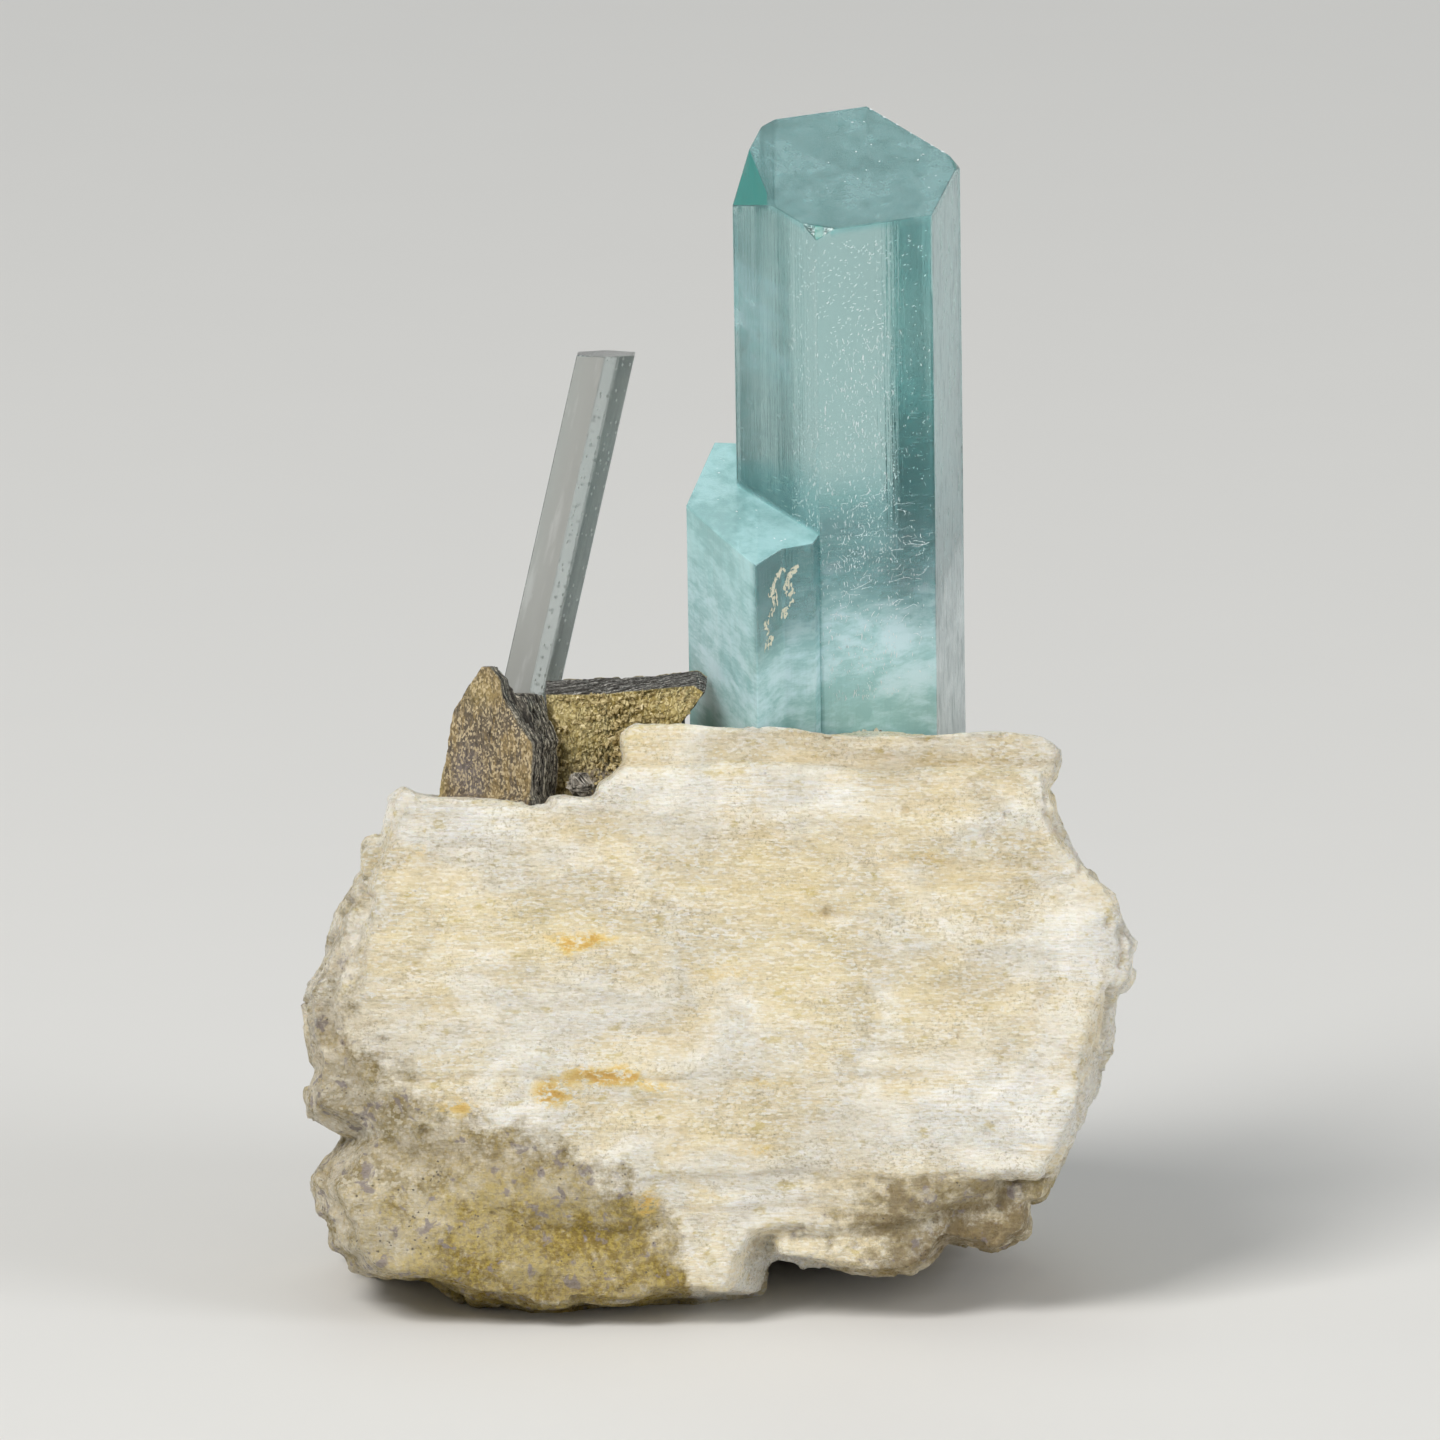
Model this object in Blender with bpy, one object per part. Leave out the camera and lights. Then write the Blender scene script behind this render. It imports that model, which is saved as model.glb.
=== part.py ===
"""Aquamarine crystals on feldspar matrix: a hand specimen at rest on its flat foot.

Sizes are millimetres until a mesh is placed, then metres. Every outline is drawn in the
matrix's own face frame: x to the right, y into the rock and z up its flat front face.
That face leans back by FACE_LEAN, so placing a mesh turns it about X by that much.
"""

import math

import bmesh
import bpy
from mathutils import Matrix, Vector, noise

MM = 0.001
GAP = 0.3  # clearance between two pieces that meet

# Whole specimen
FACE_LEAN = math.radians(12.0)
FOOT_LEVEL = -1.6  # the cut foot, below the face frame's origin
CUTTER_SIZE = 120.0  # edge of the boxes that cut flat faces, longer than the specimen

# Main aquamarine: six prism faces round its axis, given as bearing and distance from the axis
AXIS_LEAN = math.radians(35.5)  # from the rock's flat face, out towards the front
AXIS_SWAY = math.radians(-0.9)  # sideways lean of the axis
MAIN_TOP = Vector((9.2, -14.0, 85.0))
MAIN_LENGTH = 73.0
MAIN_FACE_TURN = 42.5  # bearing of the first prism face, the rest follow every 60 degrees
MAIN_FACE_DISTANCES = (7.04, 8.1, 7.84, 6.92, 7.0, 7.67)
MAIN_CORNER_BEVELS = ((12.5, 0.6), (132.5, 0.45), (192.5, 2.2), (252.5, 0.8))
BEVEL_SLOPE = math.radians(45.0)  # the small pyramid faces that cut the top corners

# Side aquamarine, grown along the main one: its outline across the same axis
SIDE_DROP = 27.6  # its top below the main one's top
SIDE_OUTLINE = (
    (-12.3, -3.4), (-9.9, -7.2), (-7.2, -11.3), (-5.2, -9.2), (-2.9, -8.6),
    (0.0, -2.0), (-4.0, 4.2), (-10.1, 4.8),
)  # fmt: skip
ROOT_LEVEL = 35.0  # both crystals end here, inside the rock

# Slender beryl
SLENDER_TOP = Vector((-8.7, 8.6, 71.8))
SLENDER_SWAY = math.radians(12.7)
SLENDER_LEAN = math.radians(7.0)
SLENDER_RADIUS = 2.44
SLENDER_LENGTH = 36.6
SLENDER_OVERLENGTH = 3.0  # cut off again by its top face, which is level and not square to it

# Mica books: outlines across the first and the last sheet, and how the stack of sheets runs back
UPRIGHT_BOOK = (
    (-21.2, 36.9), (-21.2, 39.2), (-20.6, 42.7), (-20.1, 45.4), (-19.1, 47.0),
    (-18.0, 48.4), (-17.4, 48.4), (-16.6, 47.4), (-16.4, 46.3), (-14.1, 42.7),
    (-14.5, 37.1),
)  # fmt: skip
UPRIGHT_BOOK_LOW = (
    (-21.2, 36.9), (-21.2, 39.2), (-20.6, 42.7), (-20.1, 44.9), (-19.1, 45.9),
    (-18.2, 46.3), (-17.4, 46.4), (-16.4, 46.4), (-15.5, 46.3), (-14.1, 42.7),
    (-14.5, 37.1),
)  # fmt: skip
UPRIGHT_BOOK_TALL_SHARE = 0.25  # of the stack that reaches the peak, the rest is low
UPRIGHT_BOOK_FRONT = 1.1  # depth of its front corner
UPRIGHT_BOOK_YAW = math.radians(32.0)
UPRIGHT_BOOK_STACK = Vector((2.0, 3.6, 0.0))
LYING_BOOK = (
    (-12.3, 37.6), (-12.3, 46.3), (-5.8, 46.6), (-1.4, 47.1), (-1.2, 46.7),
    (-2.2, 45.5), (-2.9, 44.2), (-2.9, 42.4), (-6.8, 42.2), (-7.3, 40.0), (-9.0, 37.6),
)  # fmt: skip
LYING_BOOK_FRONT = 2.6
LYING_BOOK_YAW = math.radians(18.0)
LYING_BOOK_STACK = Vector((0.1, 2.4, 1.1))

# Flake rosette in the notch between the books
FLAKE_CENTRE = Vector((-10.6, 3.4, 39.5))
FLAKE_RADIUS = 1.15
FLAKE_THICKNESS = 0.45
FLAKE_TURNS = ((0.0, 20.0), (55.0, 62.0), (118.0, 55.0), (165.0, 74.0))

# The rock is a union of rough blocks. Each has an outline on the face frame, the depths of
# its front, its widest part (from, to) and its back, and how far both ends draw in.
ROCK_BLOCKS = {
    "front_slab": (
        (
            (-23.8, 38.4), (-12.8, 38.0), (-12.6, 38.7), (-9.7, 38.7), (-9.3, 39.7),
            (-8.4, 40.3), (-7.3, 41.1), (10.0, 41.0), (23.8, 40.5), (23.7, 38.4),
            (24.6, 36.2), (26.1, 33.5), (27.3, 30.6), (27.9, 27.2), (27.7, 23.5),
            (26.5, 16.8), (25.3, 13.8), (23.7, 10.4), (13.2, 10.2), (2.8, 10.5),
            (-6.2, 10.1), (-12.1, 11.0), (-16.6, 13.8), (-21.1, 16.8), (-23.3, 18.9),
            (-26.1, 20.5), (-27.0, 24.2), (-26.6, 28.0), (-26.1, 31.7), (-25.2, 34.7),
        ),
        (0.0, 1.0, 12.0, 16.0), (0.985, 0.9),
    ),
    "ledge": (
        (
            (-7.3, 43.2), (-6.6, 43.8), (-2.3, 43.9), (8.0, 43.5), (18.5, 43.3),
            (22.4, 43.2), (23.9, 43.0), (24.9, 42.3), (25.1, 41.8), (24.7, 40.4),
            (24.1, 39.6), (23.9, 36.0), (8.0, 34.0), (-7.3, 36.0),
        ),
        (1.1, 1.7, 24.0, 34.0), (0.985, 0.86),
    ),
    "shelf": (
        (
            (-23.8, 39.5), (-24.7, 38.7), (-25.0, 36.6), (-25.5, 33.0), (-12.0, 32.0),
            (-9.0, 38.9), (-12.8, 38.8), (-12.8, 38.2), (-14.1, 38.3), (-16.2, 38.6),
            (-18.8, 38.8), (-21.1, 38.8), (-22.9, 38.9),
        ),
        (0.9, 2.2, 17.0, 24.0), (0.96, 0.82),
    ),
    "left_glassy": (
        (
            (-25.5, 35.5), (-26.4, 35.3), (-26.3, 34.2), (-26.0, 33.5), (-27.0, 32.6),
            (-28.2, 30.0), (-28.7, 28.4), (-30.0, 25.6), (-30.7, 24.7), (-31.1, 23.6),
            (-30.8, 20.2), (-30.6, 18.8), (-30.2, 18.5), (-30.3, 17.6), (-30.6, 15.8),
            (-30.4, 14.8), (-29.4, 14.0), (-28.2, 13.4), (-22.0, 13.0), (-18.0, 24.0),
            (-19.0, 34.0),
        ),
        (2.0, 5.0, 17.0, 26.0), (0.86, 0.74),
    ),
    "yellow_foot": (
        (
            (-28.2, 13.4), (-30.0, 11.4), (-30.9, 10.1), (-30.3, 8.6), (-30.1, 7.5),
            (-29.4, 7.2), (-29.2, 5.0), (-28.2, 4.6), (-27.7, 3.6), (-26.8, 3.1),
            (-21.8, 2.6), (-20.3, 1.8), (-18.6, 0.8), (-15.9, 0.6), (-14.4, 0.0),
            (-11.5, 0.1), (-9.1, 0.6), (-5.0, 0.8), (-3.5, 1.2), (2.5, 1.4),
            (3.0, 1.6), (3.5, 3.4), (4.3, 4.6), (6.0, 9.0), (0.0, 14.0), (-12.0, 17.0),
            (-22.0, 19.0),
        ),
        (1.4, 8.0, 31.0, 36.0), (0.84, 0.86),
    ),
    "right_lobe": (
        (
            (22.0, 32.0), (27.6, 31.3), (27.8, 30.7), (29.0, 30.4), (30.0, 29.7),
            (30.4, 28.6), (31.1, 27.5), (30.7, 26.9), (30.6, 25.1), (30.0, 24.2),
            (29.4, 24.0), (27.4, 23.1), (22.0, 22.0),
        ),
        (1.6, 4.2, 9.0, 15.0), (0.9, 0.7),
    ),
    "right_shoulder": (
        (
            (23.9, 39.4), (24.4, 37.8), (24.9, 36.3), (25.1, 35.2), (26.1, 34.1),
            (27.3, 33.0), (27.6, 32.2), (27.5, 31.3), (26.0, 29.0), (20.0, 29.0),
            (20.0, 39.0),
        ),
        (0.8, 3.0, 16.0, 24.0), (0.93, 0.8),
    ),
    "right_flank": (
        (
            (25.0, 25.0), (29.4, 24.0), (29.3, 23.6), (29.0, 21.2), (28.3, 19.3),
            (27.9, 18.0), (27.8, 16.9), (27.0, 15.4), (26.2, 13.6), (25.9, 12.8),
            (25.1, 11.6), (24.5, 10.1), (18.0, 9.0), (16.0, 18.0),
        ),
        (2.4, 6.5, 22.0, 31.0), (0.88, 0.76),
    ),
    "right_lumps": (
        (
            (9.5, 12.0), (24.5, 10.1), (23.9, 9.0), (22.6, 8.6), (22.7, 7.4),
            (22.5, 6.2), (20.3, 4.8), (18.2, 5.1), (16.5, 5.5), (13.0, 6.5),
        ),
        (3.2, 7.0, 19.0, 27.0), (0.9, 0.78),
    ),
    "right_foot": (
        (
            (2.0, 11.0), (17.0, 12.0), (18.0, 8.2), (17.2, 5.8), (15.6, 3.7),
            (14.1, 3.0), (12.9, 3.1), (10.8, 3.2), (8.7, 3.6), (7.2, 4.0),
            (5.6, 4.3), (3.2, 4.3),
        ),
        (2.6, 6.5, 34.0, 38.0), (0.86, 0.9),
    ),
    "core": (
        (
            (-23.5, 37.5), (-26.0, 32.0), (-28.5, 26.0), (-29.0, 20.0), (-28.6, 13.5),
            (-29.0, 8.0), (-25.5, 4.2), (-20.0, 3.2), (-14.0, 2.0), (-2.0, 2.4),
            (3.0, 4.6), (8.0, 4.9), (14.0, 4.6), (17.5, 6.2), (21.5, 7.0),
            (24.0, 12.0), (26.4, 17.0), (27.6, 22.0), (28.2, 27.0), (26.0, 32.0),
            (23.6, 37.0), (23.0, 41.5), (8.0, 41.9), (-5.5, 41.0), (-9.5, 38.3),
        ),
        (7.0, 10.0, 27.0, 39.3), (0.9, 0.74),
    ),
    "back_boss": (
        (
            (-19.0, 22.0), (-17.5, 9.0), (-8.0, 4.0), (4.0, 6.0), (9.0, 14.0),
            (6.0, 27.0), (-6.0, 33.0), (-15.0, 30.0),
        ),
        (22.0, 29.0, 37.0, 43.0), (0.8, 0.66),
    ),
    "back_shoulder": (
        (
            (2.0, 35.0), (5.0, 20.0), (13.0, 11.0), (21.0, 15.0), (24.5, 25.0),
            (21.0, 36.0), (12.0, 39.5),
        ),
        (20.0, 27.0, 34.0, 41.0), (0.8, 0.62),
    ),
}  # fmt: skip

WAIST = 0.965  # how much of its outline a block keeps at the back of its widest part

# Broken corners of the rock: a point on each break and the way its flat face looks
ROCK_BREAKS = (
    ((-20.0, 33.0, 30.0), (-0.75, 0.62, 0.22)),
    ((-14.0, 36.0, 34.0), (-0.25, 0.72, 0.65)),
    ((18.0, 33.0, 36.0), (0.45, 0.62, 0.64)),
    ((24.0, 27.0, 20.0), (0.88, 0.45, -0.12)),
    ((19.0, 36.0, 13.0), (0.52, 0.74, -0.42)),
    ((-22.0, 33.0, 12.0), (-0.66, 0.7, -0.28)),
    ((0.0, 31.0, 41.5), (0.05, 0.35, 0.94)),
)
LONG_EDGE = 6.0  # edges of the sides and back longer than this are halved before they bend
BEND = Vector((1.3, 1.5, 0.9))  # how far the hidden surfaces stray from flat
BEND_FREQUENCY = 0.12  # of that straying, per millimetre
BEND_SEED = 4  # picks the one shape that they take
BEND_FROM, BEND_FULL = 7.0, 20.0  # depths between which it grows
TOP_DROOP = 0.07  # fall of the rock's top towards the back, per millimetre
DROOP_FROM, DROOP_LOW, DROOP_HIGH = 4.0, 30.0, 42.0  # depth and heights where it acts


def remove_all_objects():
    for obj in list(bpy.data.objects):
        bpy.data.objects.remove(obj, do_unlink=True)


def new_material(name, colour, roughness, transmission=0.0):
    material = bpy.data.materials.new(name)
    material.use_nodes = True
    shader = material.node_tree.nodes["Principled BSDF"]
    shader.inputs["Base Color"].default_value = (*colour, 1.0)
    shader.inputs["Roughness"].default_value = roughness
    shader.inputs["Metallic"].default_value = 0.0
    shader.inputs["Transmission Weight"].default_value = transmission
    return material


def object_from(name, bm):
    """A linked object that owns the bmesh, with its faces turned out."""
    bm.normal_update()
    bmesh.ops.recalc_face_normals(bm, faces=bm.faces)
    mesh = bpy.data.meshes.new(name)
    bm.to_mesh(mesh)
    bm.free()
    obj = bpy.data.objects.new(name, mesh)
    bpy.context.scene.collection.objects.link(obj)
    return obj


def loft(rings):
    """A closed bmesh through rings of equally many points, with a flat cap at each end."""
    bm = bmesh.new()
    rows = [[bm.verts.new(point) for point in ring] for ring in rings]
    bm.faces.new(rows[0])
    bm.faces.new(rows[-1][::-1])
    for near, far in zip(rows, rows[1:]):
        for i in range(len(near)):
            j = (i + 1) % len(near)
            bm.faces.new((near[i], near[j], far[j], far[i]))
    return bm


def apply_boolean(obj, others, operation):
    """Joins the others to obj, or cuts them from it, and removes them."""
    for other in others:
        modifier = obj.modifiers.new(f"{operation} {other.name}", "BOOLEAN")
        modifier.operation = operation
        modifier.solver = "EXACT"
        modifier.object = other
        other.hide_render = True
        other.display_type = "WIRE"
    graph = bpy.context.evaluated_depsgraph_get()
    result = bpy.data.meshes.new_from_object(obj.evaluated_get(graph))
    obj.modifiers.clear()
    old = obj.data
    obj.data = result
    bpy.data.meshes.remove(old)
    for other in others:
        bpy.data.objects.remove(other, do_unlink=True)


def rename(obj, name):
    obj.name = name
    obj.data.name = name


def place(obj):
    """Turns a mesh drawn in the face frame into the world, in metres, on the foot's level."""
    lift = Matrix.Translation((0.0, 0.0, -FOOT_LEVEL))
    turn = Matrix.Rotation(-FACE_LEAN, 4, "X")
    obj.data.transform(Matrix.Scale(MM, 4) @ lift @ turn)


def rock_block(name, outline, depths, ends):
    """One rough block of the rock, widest between its two middle depths."""
    cx = sum(x for x, _ in outline) / len(outline)
    cz = sum(z for _, z in outline) / len(outline)
    rings = [
        [(cx + (x - cx) * scale, depth, cz + (z - cz) * scale) for x, z in outline]
        for depth, scale in zip(depths, (ends[0], 1.0, WAIST, ends[1]))
    ]
    return object_from(name, loft(rings))


def break_cutter(index, spot, looks):
    """A box whose inner face is one flat break."""
    bm = bmesh.new()
    bmesh.ops.create_cube(bm, size=CUTTER_SIZE)
    bmesh.ops.translate(bm, verts=bm.verts, vec=Vector((0.0, 0.0, CUTTER_SIZE / 2.0)))
    turn = Vector(looks).to_track_quat("Z", "Y").to_matrix().to_4x4()
    bm.transform(Matrix.Translation(Vector(spot)) @ turn)
    return object_from(f"break_{index}", bm)


def share_between(value, low, high):
    """0 below low, 1 above high, and in proportion between them."""
    return min(max((value - low) / (high - low), 0.0), 1.0)


def roughen(obj):
    """Bends the rock's sides and back out of flat, and leaves its front as drawn."""
    noise.seed_set(BEND_SEED)
    bm = bmesh.new()
    bm.from_mesh(obj.data)
    bmesh.ops.triangulate(bm, faces=bm.faces)
    for _ in range(2):
        long_edges = [
            edge for edge in bm.edges
            if edge.calc_length() > LONG_EDGE and max(v.co.y for v in edge.verts) > BEND_FROM
        ]  # fmt: skip
        bmesh.ops.subdivide_edges(bm, edges=long_edges, cuts=1)
        bmesh.ops.triangulate(bm, faces=bm.faces)
    for vertex in bm.verts:
        spot = vertex.co.copy()
        bend = share_between(spot.y, BEND_FROM, BEND_FULL)
        droop = share_between(spot.z, DROOP_LOW, DROOP_HIGH) * max(spot.y - DROOP_FROM, 0.0)
        vertex.co += bend * BEND * noise.noise_vector(spot * BEND_FREQUENCY)
        vertex.co.z -= TOP_DROOP * droop
    bm.to_mesh(obj.data)
    bm.free()


def foot_cutter():
    """A box, level in the world, whose top is the flat foot."""
    bm = bmesh.new()
    bmesh.ops.create_cube(bm, size=CUTTER_SIZE)
    centre = Vector((0.0, 0.0, FOOT_LEVEL - CUTTER_SIZE / 2.0))
    bmesh.ops.translate(bm, verts=bm.verts, vec=centre)
    bm.transform(Matrix.Rotation(FACE_LEAN, 4, "X"))
    return object_from("foot_cutter", bm)


def feldspar_matrix(cutters):
    """The rock: its blocks united, the foot cut flat, and a socket for each grown piece."""
    blocks = [rock_block(name, *sizes) for name, sizes in ROCK_BLOCKS.items()]
    breaks = [break_cutter(i, spot, looks) for i, (spot, looks) in enumerate(ROCK_BREAKS)]
    rock = blocks[0]
    apply_boolean(rock, blocks[1:], "UNION")
    apply_boolean(rock, breaks, "DIFFERENCE")
    roughen(rock)
    apply_boolean(rock, [foot_cutter(), *cutters], "DIFFERENCE")
    rename(rock, "feldspar_matrix")
    return rock


def axis_frame(top, sway, lean):
    """The frame of a crystal: origin at the middle of its top, z up its axis."""
    turn = Matrix.Rotation(sway, 4, "Y") @ Matrix.Rotation(lean, 4, "X")
    return Matrix.Translation(top) @ turn


def prism_outline(distances, first_bearing):
    """Corners of a six-sided prism from its faces' bearings and distances."""
    corners = []
    for i, near in enumerate(distances):
        far = distances[(i + 1) % len(distances)]
        a = math.radians(first_bearing + 60.0 * i)
        b = math.radians(first_bearing + 60.0 * (i + 1))
        across = math.sin(b - a)
        x = (near * math.sin(b) - far * math.sin(a)) / across
        y = (far * math.cos(a) - near * math.cos(b)) / across
        corners.append((x, y))
    return corners


def cut_flat(bm, spot, looks):
    """Takes off what lies beyond a plane through a point, and closes a convex mesh there."""
    geometry = bm.verts[:] + bm.edges[:] + bm.faces[:]
    cut = bmesh.ops.bisect_plane(
        bm, geom=geometry, plane_co=spot, plane_no=looks, clear_outer=True
    )
    edges = [item for item in cut["geom_cut"] if isinstance(item, bmesh.types.BMEdge)]
    bmesh.ops.contextual_create(bm, geom=edges)


def cut_corner(bm, bearing, depth, outline):
    """Bevels one top corner with a small pyramid face."""
    outward = Vector((math.cos(math.radians(bearing)), math.sin(math.radians(bearing)), 0.0))
    reach = max(Vector((x, y, 0.0)).dot(outward) for x, y in outline)
    looks = outward * math.sin(BEVEL_SLOPE) + Vector((0.0, 0.0, math.cos(BEVEL_SLOPE)))
    cut_flat(bm, outward * (reach - depth), looks)


def main_crystal(grow):
    """The main prism, its flat top bevelled at four corners. Grow widens it for a socket."""
    distances = [distance + grow for distance in MAIN_FACE_DISTANCES]
    outline = prism_outline(distances, MAIN_FACE_TURN)
    bm = loft([[(x, y, z) for x, y in outline] for z in (0.0, -MAIN_LENGTH)])
    for bearing, depth in MAIN_CORNER_BEVELS:
        cut_corner(bm, bearing, depth, outline)
    bm.transform(axis_frame(MAIN_TOP, AXIS_SWAY, AXIS_LEAN))
    return object_from("main_crystal", bm)


def grown(outline, grow):
    """An outline with every side moved outwards by grow."""
    points = [Vector(point) for point in outline]
    steps = [(b - a).normalized() for a, b in zip(points, points[1:] + points[:1])]
    turning = sum(a.cross(b) for a, b in zip(points, points[1:] + points[:1]))
    side = math.copysign(grow, turning)
    moved = []
    for i, point in enumerate(points):
        before, after = steps[i - 1], steps[i]
        mitre = Vector((before.y + after.y, -before.x - after.x))
        moved.append(point + mitre * side / (1.0 + before.dot(after)))
    return moved


def side_crystal(grow):
    outline = grown(SIDE_OUTLINE, grow)
    depths = (-SIDE_DROP + grow, -MAIN_LENGTH)
    bm = loft([[(x, y, z) for x, y in outline] for z in depths])
    bm.transform(axis_frame(MAIN_TOP, AXIS_SWAY, AXIS_LEAN))
    return object_from("side_crystal", bm)


def root_cutter(grow):
    """A box, in the face frame, that ends the crystals at their roots."""
    bm = bmesh.new()
    bmesh.ops.create_cube(bm, size=CUTTER_SIZE)
    centre = Vector((0.0, 0.0, ROOT_LEVEL - grow - CUTTER_SIZE / 2.0))
    bmesh.ops.translate(bm, verts=bm.verts, vec=centre)
    return object_from("root_cutter", bm)


def crystal_pair(name, grow):
    """Main and side aquamarine, grown into one another."""
    pair = main_crystal(grow)
    apply_boolean(pair, [side_crystal(grow)], "UNION")
    apply_boolean(pair, [root_cutter(grow)], "DIFFERENCE")
    rename(pair, name)
    return pair


def slender_crystal(name, grow):
    """A thin six-sided prism with one edge to the front and a flat top."""
    radius = SLENDER_RADIUS + grow
    angles = [math.radians(30.0 + 60.0 * i) for i in range(6)]
    outline = [(radius * math.cos(a), radius * math.sin(a)) for a in angles]
    depths = (SLENDER_OVERLENGTH, -SLENDER_LENGTH - grow)
    bm = loft([[(x, y, z) for x, y in outline] for z in depths])
    bm.transform(axis_frame(SLENDER_TOP, SLENDER_SWAY, SLENDER_LEAN))
    looks = Matrix.Rotation(SLENDER_LEAN, 3, "X") @ Vector((0.0, 0.0, 1.0))
    cut_flat(bm, SLENDER_TOP + looks * grow, looks)
    return object_from(name, bm)


def sheet(outline, front, yaw, shift, grow):
    """One sheet of a mica book: an outline, deeper towards its left by yaw, then shifted."""
    right = max(x for x, _ in outline)
    return [
        Vector((x, front + (right - x) * math.tan(yaw), z)) + shift
        for x, z in grown(outline, grow)
    ]


def upright_book(name, grow):
    """Its first sheets rise to a peak, and the rest end low."""
    stack = UPRIGHT_BOOK_STACK
    spare = stack.normalized() * grow
    stations = (
        (UPRIGHT_BOOK, -spare),
        (UPRIGHT_BOOK, stack * UPRIGHT_BOOK_TALL_SHARE),
        (UPRIGHT_BOOK_LOW, stack * UPRIGHT_BOOK_TALL_SHARE * 1.3),
        (UPRIGHT_BOOK_LOW, stack + spare),
    )
    rings = [
        sheet(outline, UPRIGHT_BOOK_FRONT, UPRIGHT_BOOK_YAW, shift, grow)
        for outline, shift in stations
    ]
    return object_from(name, loft(rings))


def lying_book(name, grow):
    spare = LYING_BOOK_STACK.normalized() * grow
    rings = [
        sheet(LYING_BOOK, LYING_BOOK_FRONT, LYING_BOOK_YAW, shift, grow)
        for shift in (-spare, LYING_BOOK_STACK + spare)
    ]
    return object_from(name, loft(rings))


def flake(name, bearing, tilt, grow):
    """One six-sided flake, stood on its edge by tilt and turned to its bearing."""
    radius = FLAKE_RADIUS + grow
    half = FLAKE_THICKNESS / 2.0 + grow
    outline = [
        (radius * math.cos(math.radians(60.0 * i)), radius * math.sin(math.radians(60.0 * i)))
        for i in range(6)
    ]
    bm = loft([[(x, y, z) for x, y in outline] for z in (half, -half)])
    turn = Matrix.Rotation(math.radians(bearing), 4, "Z")
    lean = Matrix.Rotation(math.radians(tilt), 4, "X")
    bm.transform(Matrix.Translation(FLAKE_CENTRE) @ turn @ lean)
    return object_from(name, bm)


def flake_rosette(name, grow):
    flakes = [
        flake(f"flake_{i}", bearing, tilt, grow)
        for i, (bearing, tilt) in enumerate(FLAKE_TURNS)
    ]
    rosette = flakes[0]
    apply_boolean(rosette, flakes[1:], "UNION")
    rename(rosette, name)
    return rosette


def dress(obj, material):
    obj.data.materials.clear()
    obj.data.materials.append(material)


def centre_on_foot(objects):
    """Moves the meshes so that the middle of the specimen's box stands on the origin."""
    points = [vertex.co for obj in objects for vertex in obj.data.vertices]
    middle_x = (min(p.x for p in points) + max(p.x for p in points)) / 2.0
    middle_y = (min(p.y for p in points) + max(p.y for p in points)) / 2.0
    for obj in objects:
        obj.data.transform(Matrix.Translation((-middle_x, -middle_y, 0.0)))


def main():
    remove_all_objects()
    makers = {
        "aquamarine_crystals": crystal_pair,
        "slender_beryl": slender_crystal,
        "mica_book_upright": upright_book,
        "mica_book_lying": lying_book,
        "mica_flakes": flake_rosette,
    }
    materials = {
        "feldspar_matrix": new_material("feldspar", (0.74, 0.65, 0.46), 0.62),
        "aquamarine_crystals": new_material("aquamarine", (0.42, 0.74, 0.72), 0.08, 1.0),
        "slender_beryl": new_material("colourless_beryl", (0.86, 0.9, 0.9), 0.08, 1.0),
        "mica_book_upright": new_material("mica_sheets", (0.27, 0.21, 0.12), 0.38),
        "mica_book_lying": new_material("mica_druse", (0.34, 0.28, 0.11), 0.5),
        "mica_flakes": new_material("dark_mica", (0.07, 0.06, 0.04), 0.35),
    }
    sockets = [make(f"{name}_socket", GAP) for name, make in makers.items()]
    pieces = [feldspar_matrix(sockets)]
    pieces += [make(name, 0.0) for name, make in makers.items()]
    for piece in pieces:
        dress(piece, materials[piece.name])
        place(piece)
    centre_on_foot(pieces)


main()
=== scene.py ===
"""Aquamarine crystals on a feldspar matrix: the finished look of the specimen and its plain studio.

The pieces are drawn in three frames of their own, in millimetres: the face frame (x right, y into
the rock, z up its flat front), the axis frame of the two crystals that have grown together (z up
their axis, origin at the middle of the main one's top) and the slender prism's frame (z up its
axis, origin at its top).
"""
import itertools
import logging
import math
from dataclasses import dataclass, field
from enum import Enum
from typing import Callable, Iterable, Sequence

import bmesh
import bpy
import numpy as np
from bmesh.types import BMEdge, BMesh
from bpy.types import Material, Mesh, Node, Object
from bpy.types import NodeSocket as Socket
from mathutils import Matrix, Vector
from mathutils.bvhtree import BVHTree


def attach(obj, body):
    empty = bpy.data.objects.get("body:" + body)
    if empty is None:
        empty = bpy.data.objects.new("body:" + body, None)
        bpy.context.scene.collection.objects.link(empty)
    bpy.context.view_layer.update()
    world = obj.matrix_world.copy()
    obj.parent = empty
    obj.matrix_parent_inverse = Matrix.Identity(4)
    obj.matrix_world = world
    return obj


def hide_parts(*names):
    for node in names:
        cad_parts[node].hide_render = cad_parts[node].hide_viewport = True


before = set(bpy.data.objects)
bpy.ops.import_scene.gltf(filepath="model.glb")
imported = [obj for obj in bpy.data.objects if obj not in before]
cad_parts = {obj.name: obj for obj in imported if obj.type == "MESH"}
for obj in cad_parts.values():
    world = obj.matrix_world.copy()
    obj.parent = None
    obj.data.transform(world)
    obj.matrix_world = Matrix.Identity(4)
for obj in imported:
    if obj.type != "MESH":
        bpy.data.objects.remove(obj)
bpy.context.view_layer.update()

LOG = logging.getLogger("specimen")

Colour = tuple[float, float, float]
Scale = float | tuple[float, float, float]
Points = np.ndarray

MILLIMETRE = 0.001
UP = np.array([0.0, 0.0, 1.0])

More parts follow.
